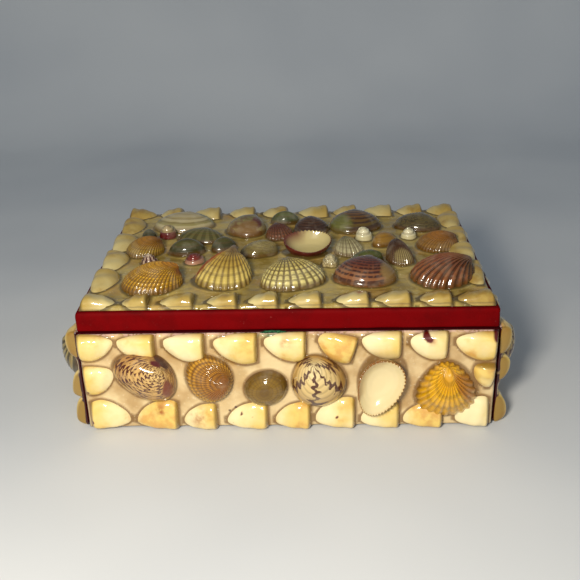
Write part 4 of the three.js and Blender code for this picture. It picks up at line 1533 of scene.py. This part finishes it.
def lid_borders() -> list[BorderShell]:
    """The lid's border shells: all round its edge."""
    near, far, column = -45.5, 44.6, 69.0
    front = ((-67.3, 180, 13.0, 0.4), (-54.4, 0, 10.4, 0.5), (-39.6, 0, 13.4, 0.4), (-23.2, 0, 12.1, 0.5),
             (-8.7, 0, 12.2, 0.3), (6.4, 0, 12.9, 0.4), (23.3, 0, 13.0, 0.2), (37.6, 0, 13.9, 0.5),
             (52.7, 0, 12.6, 0.6), (66.8, 0, 14.4, 0.7))
    back = ((-67.4, 180, 12.4, 0.9), (-54.4, 0, 11.4, 0.4), (-38.6, 0, 14.0, 0.3), (-22.4, 0, 13.0, 0.3),
            (-7.3, 0, 12.6, 0.4), (10.0, 0, 14.6, 0.5), (24.4, 0, 11.4, 0.5), (38.9, 0, 14.0, 0.3),
            (53.4, 0, 12.2, 0.5), (67.0, 0, 12.4, 0.7))
    left = ((-30.2, 17.6, 0.5), (-11.0, 17.2, 0.3), (8.4, 17.2, 0.4), (28.2, 16.2, 0.8))
    right = ((-27.4, 18.4, 0.6), (-7.4, 16.4, 0.5), (11.2, 16.4, 0.5), (29.6, 17.0, 0.6))
    shells = [BorderShell(u, near, turn, length, LID_BREADTH, -1 if turn == 180 else 1, tone, LID_FOOT)
              for u, turn, length, tone in front]
    shells += [BorderShell(u, far, turn, length, LID_BREADTH, 1 if turn == 180 else -1, tone)
               for u, turn, length, tone in back]
    shells += [BorderShell(-column, v, 90, length, LID_BREADTH, -1, tone) for v, length, tone in left]
    shells += [BorderShell(column, v, 90, length, LID_BREADTH, 1, tone) for v, length, tone in right]
    return shells


def front_shells() -> list[BigShell]:
    """The six bigger shells of the front, left to right."""
    return [
        Valve(FRONT, "speckled_clam", -35, 1.31, SPECKLED, "smooth_shell", VENUS, PLAIN, 11),
        Valve(FRONT, "ochre_cockle", -75, 1.13, OCHRE_RIBS, "ribbed_shell", COCKLE, FINE_RIBS, 12),
        Valve(FRONT, "small_limpet", 20, 1.17, GLASSY, "smooth_shell", LIMPET, PLAIN, 13),
        Valve(FRONT, "striped_clam", 20, 0.92, ZIGZAG, "smooth_shell", VENUS, PLAIN, 14),
        Dish(FRONT, "open_cockle", -18, 0.67, DishFinish("7a5016", "c09850", "e2d0a0", "86500f"), "smooth_shell"),
        Valve(FRONT, "yellow_scallop", 0, 0.94, SCALLOP_YELLOW, "ribbed_shell", SCALLOP, FAN_RIBS, 16),
    ]


def back_shells() -> list[BigShell]:
    """The five bigger shells of the back."""
    return [
        Valve(BACK, "cream_cockle", 12, 1.08, CREAM_LATTICE, "ribbed_shell", COCKLE, LATTICE, 21),
        Valve(BACK, "brown_clam", -30, 1.11, BROWN_CLAM, "smooth_shell", VENUS, RIDGED, 22),
        Valve(BACK, "yellow_cockle", 0, 1.05, YELLOW, "ribbed_shell", COCKLE, DENSE_LATTICE, 23),
        Valve(BACK, "zigzag_clam", 40, 1.08, ZIGZAG, "smooth_shell", VENUS, PLAIN, 24),
        Valve(BACK, "orange_scallop", -6, 1.07, ORANGE, "ribbed_shell", SCALLOP, FAN_RIBS, 25),
    ]


def side_shells(panel: Panel, tilt: float, seed: int) -> list[BigShell]:
    """The three bigger shells of a short side."""
    return [
        Valve(panel, "zigzag_clam", tilt, 1.13, ZIGZAG, "smooth_shell", VENUS, PLAIN, seed),
        Valve(panel, "ribbed_cockle", -tilt, 1.08, OCHRE_RIBS, "ribbed_shell", COCKLE, STRONG_RIBS, seed + 1),
        Valve(panel, "brown_clam", tilt / 2, 1.07, DARK_CLAM, "smooth_shell", VENUS, RIDGED, seed + 2),
    ]


def lid_shells() -> list[BigShell]:
    """The bigger shells and the snails of the lid, front to back."""
    smooth_slot, ribbed_slot, snail_slot = "smooth_shell", "ribbed_shell", "snail_shell"
    return [
        Valve(TOP, "yellow_cockle", -72, 0.91, YELLOW, ribbed_slot, COCKLE, DENSE_LATTICE, 31),
        Valve(TOP, "fan_cockle", -20, 0.85, FAN_BROWN, ribbed_slot, FAN, TALL_RIBS, 32),
        Valve(TOP, "lattice_cockle", 20, 1.34, CREAM_LATTICE, ribbed_slot, COCKLE, LATTICE, 33),
        Valve(TOP, "purple_clam", -5, 1.23, PURPLE, smooth_slot, VENUS, RIDGED, 34),
        Valve(TOP, "red_cockle", -80, 0.88, RED_RIBS, ribbed_slot, COCKLE, STRONG_RIBS, 35),
        Valve(TOP, "orange_cockle", -80, 1.01, ORANGE, ribbed_slot, COCKLE, FINE_RIBS, 36),
        Snail(TOP, "banded_snail", 0, 1.14, DARK_SNAIL, snail_slot),
        Snail(TOP, "pink_snail", 30, 1.04, RED_SNAIL, snail_slot),
        Valve(TOP, "zigzag_clam", 6, 1.55, FAINT_ZIGZAG, smooth_slot, VENUS, PLAIN, 37),
        Snail(TOP, "ring_snail", 60, 0.96, RING_SNAIL, snail_slot),
        Valve(TOP, "olive_chip", 0, 0.98, DARK_CHIP, smooth_slot, LIMPET, PLAIN, 38),
        Valve(TOP, "grey_limpet", 10, 1.64, GREY_GREEN, smooth_slot, LIMPET, PLAIN, 39),
        Valve(TOP, "glassy_clam", 30, 1.41, GREY_GREEN, smooth_slot, VENUS, PLAIN, 40),
        Valve(TOP, "mossy_clam", -10, 1.63, MOSSY, smooth_slot, VENUS, PLAIN, 53),
        Valve(TOP, "olive_clam", -20, 1.02, OLIVE_STRIPES, smooth_slot, VENUS, PLAIN, 41),
        Valve(TOP, "pale_clam", -80, 0.63, PALE, smooth_slot, VENUS, PLAIN, 42),
        Valve(TOP, "moss_limpet", 0, 1.86, OLIVE, smooth_slot, LIMPET, PLAIN, 43),
        Valve(TOP, "beaded_cockle", 20, 0.95, BEADED, ribbed_slot, COCKLE, BEADED_RIBS, 44),
        Valve(TOP, "umber_clam", 20, 1.14, UMBER, smooth_slot, VENUS, RIDGED, 45),
        Dish(TOP, "open_cockle", 10, 1.39, DishFinish("4a0e0c", "9c8648", "bcab74", "5e1410"), smooth_slot, 0.5),
        Valve(TOP, "lined_clam", 14, 1.23, LINED, smooth_slot, VENUS, RIDGED, 46),
        Snail(TOP, "white_snail", 120, 1.0, WHITE_SNAIL, snail_slot),
        Valve(TOP, "grey_scallop", 20, 0.86, GREY_FAN, ribbed_slot, SCALLOP, FINE_RIBS, 47),
        Snail(TOP, "dotted_snail", 200, 0.87, DOTTED_SNAIL, snail_slot),
        Valve(TOP, "amber_clam", 40, 1.4, AMBER, smooth_slot, VENUS, PLAIN, 48),
        Valve(TOP, "small_scallop", 14, 0.61, SMALL_BROWN, ribbed_slot, SCALLOP, FINE_RIBS, 49),
        Valve(TOP, "bronze_clam", -80, 0.66, OLIVE, smooth_slot, VENUS, PLAIN, 50),
        Valve(TOP, "mottled_clam", -14, 1.42, MOTTLED, smooth_slot, VENUS, RIDGED, 51),
        Snail(TOP, "bead_snail", 90, 0.95, WHITE_SNAIL, snail_slot),
        Valve(TOP, "tan_clam", -88, 0.92, TAN, ribbed_slot, COCKLE, FINE_RIBS, 52),
    ]


FRONT_MARKS = (Mark(49.6, 38.6, 1.4, Stain.PIT), Mark(51.6, 37.4, 1.3, Stain.RUST), Mark(75.0, 38.4, 2.2, Stain.PIT),
               Mark(50.6, 37.6, 1.2, Stain.PIT), Mark(-0.4, 37.0, 1.6, Stain.RUST), Mark(-33.0, 6.4, 3.2, Stain.RUST),
               Mark(-47.6, 9.0, 2.2, Stain.RUST), Mark(-17.4, 7.4, 0.6, Stain.PIT), Mark(-19.6, 9.2, 0.5, Stain.PIT),
               Mark(-22.0, 7.6, 0.5, Stain.PIT), Mark(-13.4, 6.0, 0.5, Stain.PIT), Mark(17.6, 6.2, 0.5, Stain.PIT),
               Mark(15.4, 5.2, 0.4, Stain.PIT), Mark(-73.4, 17.0, 0.6, Stain.PIT), Mark(-73.0, 4.8, 0.8, Stain.PIT))
LID_MARKS = (Mark(19.6, -43.6, 2.4, Stain.RUST), Mark(26.2, -46.2, 1.2, Stain.RUST))


# ---------------------------------------------------------------------------------------------------
# The studio
# ---------------------------------------------------------------------------------------------------
@dataclass
class Studio:
    """A pale backdrop, one small light near the camera, a soft sky and the camera.

    Attributes:
        eye: Where the camera stands, in millimetres.
        pitch: How far it looks down, in degrees.
        yaw: How far it is turned to the left.
        roll: How far it leans.
        lens: Its focal length on a 36 mm wide sensor.
        wall: How far behind the box the backdrop's wall stands, in metres.
        bend: Radius of the curve between floor and wall.
        lamp: Where the light stands, in metres.
        lamp_size: Its side, in metres.
        lamp_watts: Its power.
        sky_strength: How bright the sky is.
    """

    eye: Colour = (10.1, -321.7, 179.4)
    pitch: float = 24.53
    yaw: float = 1.8
    roll: float = -1.52
    lens: float = 52.83
    wall: float = 0.5
    bend: float = 0.16
    lamp: Colour = (-0.06, -0.33, 0.21)
    lamp_size: float = 0.06
    lamp_watts: float = 1.3
    sky_strength: float = 0.42

    def camera(self) -> None:
        """Stands the camera at the eye, turned by yaw, pitch and roll."""
        pitch, yaw, roll = (math.radians(v) for v in (self.pitch, self.yaw, self.roll))
        right = np.array([math.cos(yaw), math.sin(yaw), 0.0])
        ahead = np.array([-math.sin(yaw) * math.cos(pitch), math.cos(yaw) * math.cos(pitch), -math.sin(pitch)])
        above = np.cross(right, ahead)
        side = math.cos(roll) * right + math.sin(roll) * above
        top = -math.sin(roll) * right + math.cos(roll) * above
        data = bpy.data.cameras.new("camera")
        data.lens = self.lens
        data.sensor_width = 36.0
        data.clip_start = 0.01
        camera = bpy.data.objects.new("camera", data)
        place = Matrix(np.column_stack([side, top, -ahead, np.array(self.eye) * MM]).tolist() + [[0, 0, 0, 1]])
        camera.matrix_world = place
        bpy.context.scene.collection.objects.link(camera)
        bpy.context.scene.camera = camera

    def light(self, name: str, place: Colour, target: Colour, size: float, watts: float, tint: str) -> None:
        """Adds a square area light at place, facing target."""
        data = bpy.data.lights.new(name, "AREA")
        data.size = size
        data.energy = watts
        data.color = colour(tint)
        lamp = bpy.data.objects.new(name, data)
        ahead = (np.array(target) - np.array(place)).astype(float)
        ahead /= np.linalg.norm(ahead)
        right = np.cross(ahead, [0.0, 0.0, 1.0])
        right /= np.linalg.norm(right)
        above = np.cross(right, ahead)
        away = Matrix(np.column_stack([right, above, -ahead]).tolist()).to_4x4()
        away.translation = place
        lamp.matrix_world = away
        bpy.context.scene.collection.objects.link(lamp)

    def backdrop(self) -> None:
        """Lays a wide pale cloth under the box that curves up into a wall behind it."""
        arc = np.linspace(0.0, math.pi / 2, 25)
        y = np.concatenate([[-3.0], self.wall - self.bend + self.bend * np.sin(arc), [self.wall]])
        z = np.concatenate([[0.0], self.bend - self.bend * np.cos(arc), [3.0]]) - 0.0002
        points = [(side * 3.0, float(b), float(c)) for b, c in zip(y, z) for side in (-1, 1)]
        faces = [(i, i + 1, i + 3, i + 2) for i in range(0, len(points) - 2, 2)]
        data = bpy.data.meshes.new("backdrop")
        data.from_pydata(points, [], faces)
        data.polygons.foreach_set("use_smooth", [True] * len(faces))
        cloth = bpy.data.objects.new("backdrop", data)
        paint = Paint("cloth_finish")
        folds = paint.noise(0.16, 2.0)
        ground = paint.mix(folds.step(0.3, 0.7), colour("d9dada"), colour("cdcfd1"))
        data.materials.append(paint.finish(ground, 0.9, 0.0, folds, 0.006))
        bpy.context.scene.collection.objects.link(cloth)

    def build(self) -> None:
        """Makes the backdrop, the light, the sky and the camera."""
        self.backdrop()
        self.light("key", self.lamp, (0.0, 0.0, 0.02), self.lamp_size, self.lamp_watts, "fff8ea")
        world = bpy.data.worlds.new("sky")
        world.use_nodes = True
        sky = world.node_tree.nodes["Background"]
        sky.inputs["Color"].default_value = (*colour("c6d2de"), 1.0)
        sky.inputs["Strength"].default_value = self.sky_strength
        bpy.context.scene.world = world
        bpy.context.scene.view_settings.view_transform = "Standard"
        self.camera()


def main() -> None:
    """Builds the box part by part, then the studio."""
    BoxTray().build()
    Lid().build()
    ShellPanel(FRONT, front_borders(), front_shells(), LONG_BED, CLEAR_PUTTY, BRIGHT_BORDER, FRONT_MARKS, 1).build()
    ShellPanel(RIGHT, side_borders(-1, 81), side_shells(RIGHT, 28, 91), SHORT_BED, CLEAR_PUTTY, BRIGHT_BORDER,
               (), 2).build()
    ShellPanel(BACK, back_borders(), back_shells(), LONG_BED, CLEAR_PUTTY, BRIGHT_BORDER, (), 3).build()
    ShellPanel(LEFT, side_borders(1, 83), side_shells(LEFT, -34, 95), SHORT_BED, CLEAR_PUTTY, BRIGHT_BORDER,
               (), 4).build()
    ShellPanel(TOP, lid_borders(), lid_shells(), LID_BED, LID_PUTTY, LID_BORDER, LID_MARKS, 5).build()
    PullTab().build()
    Studio().build()


if __name__ == "__main__":
    main()
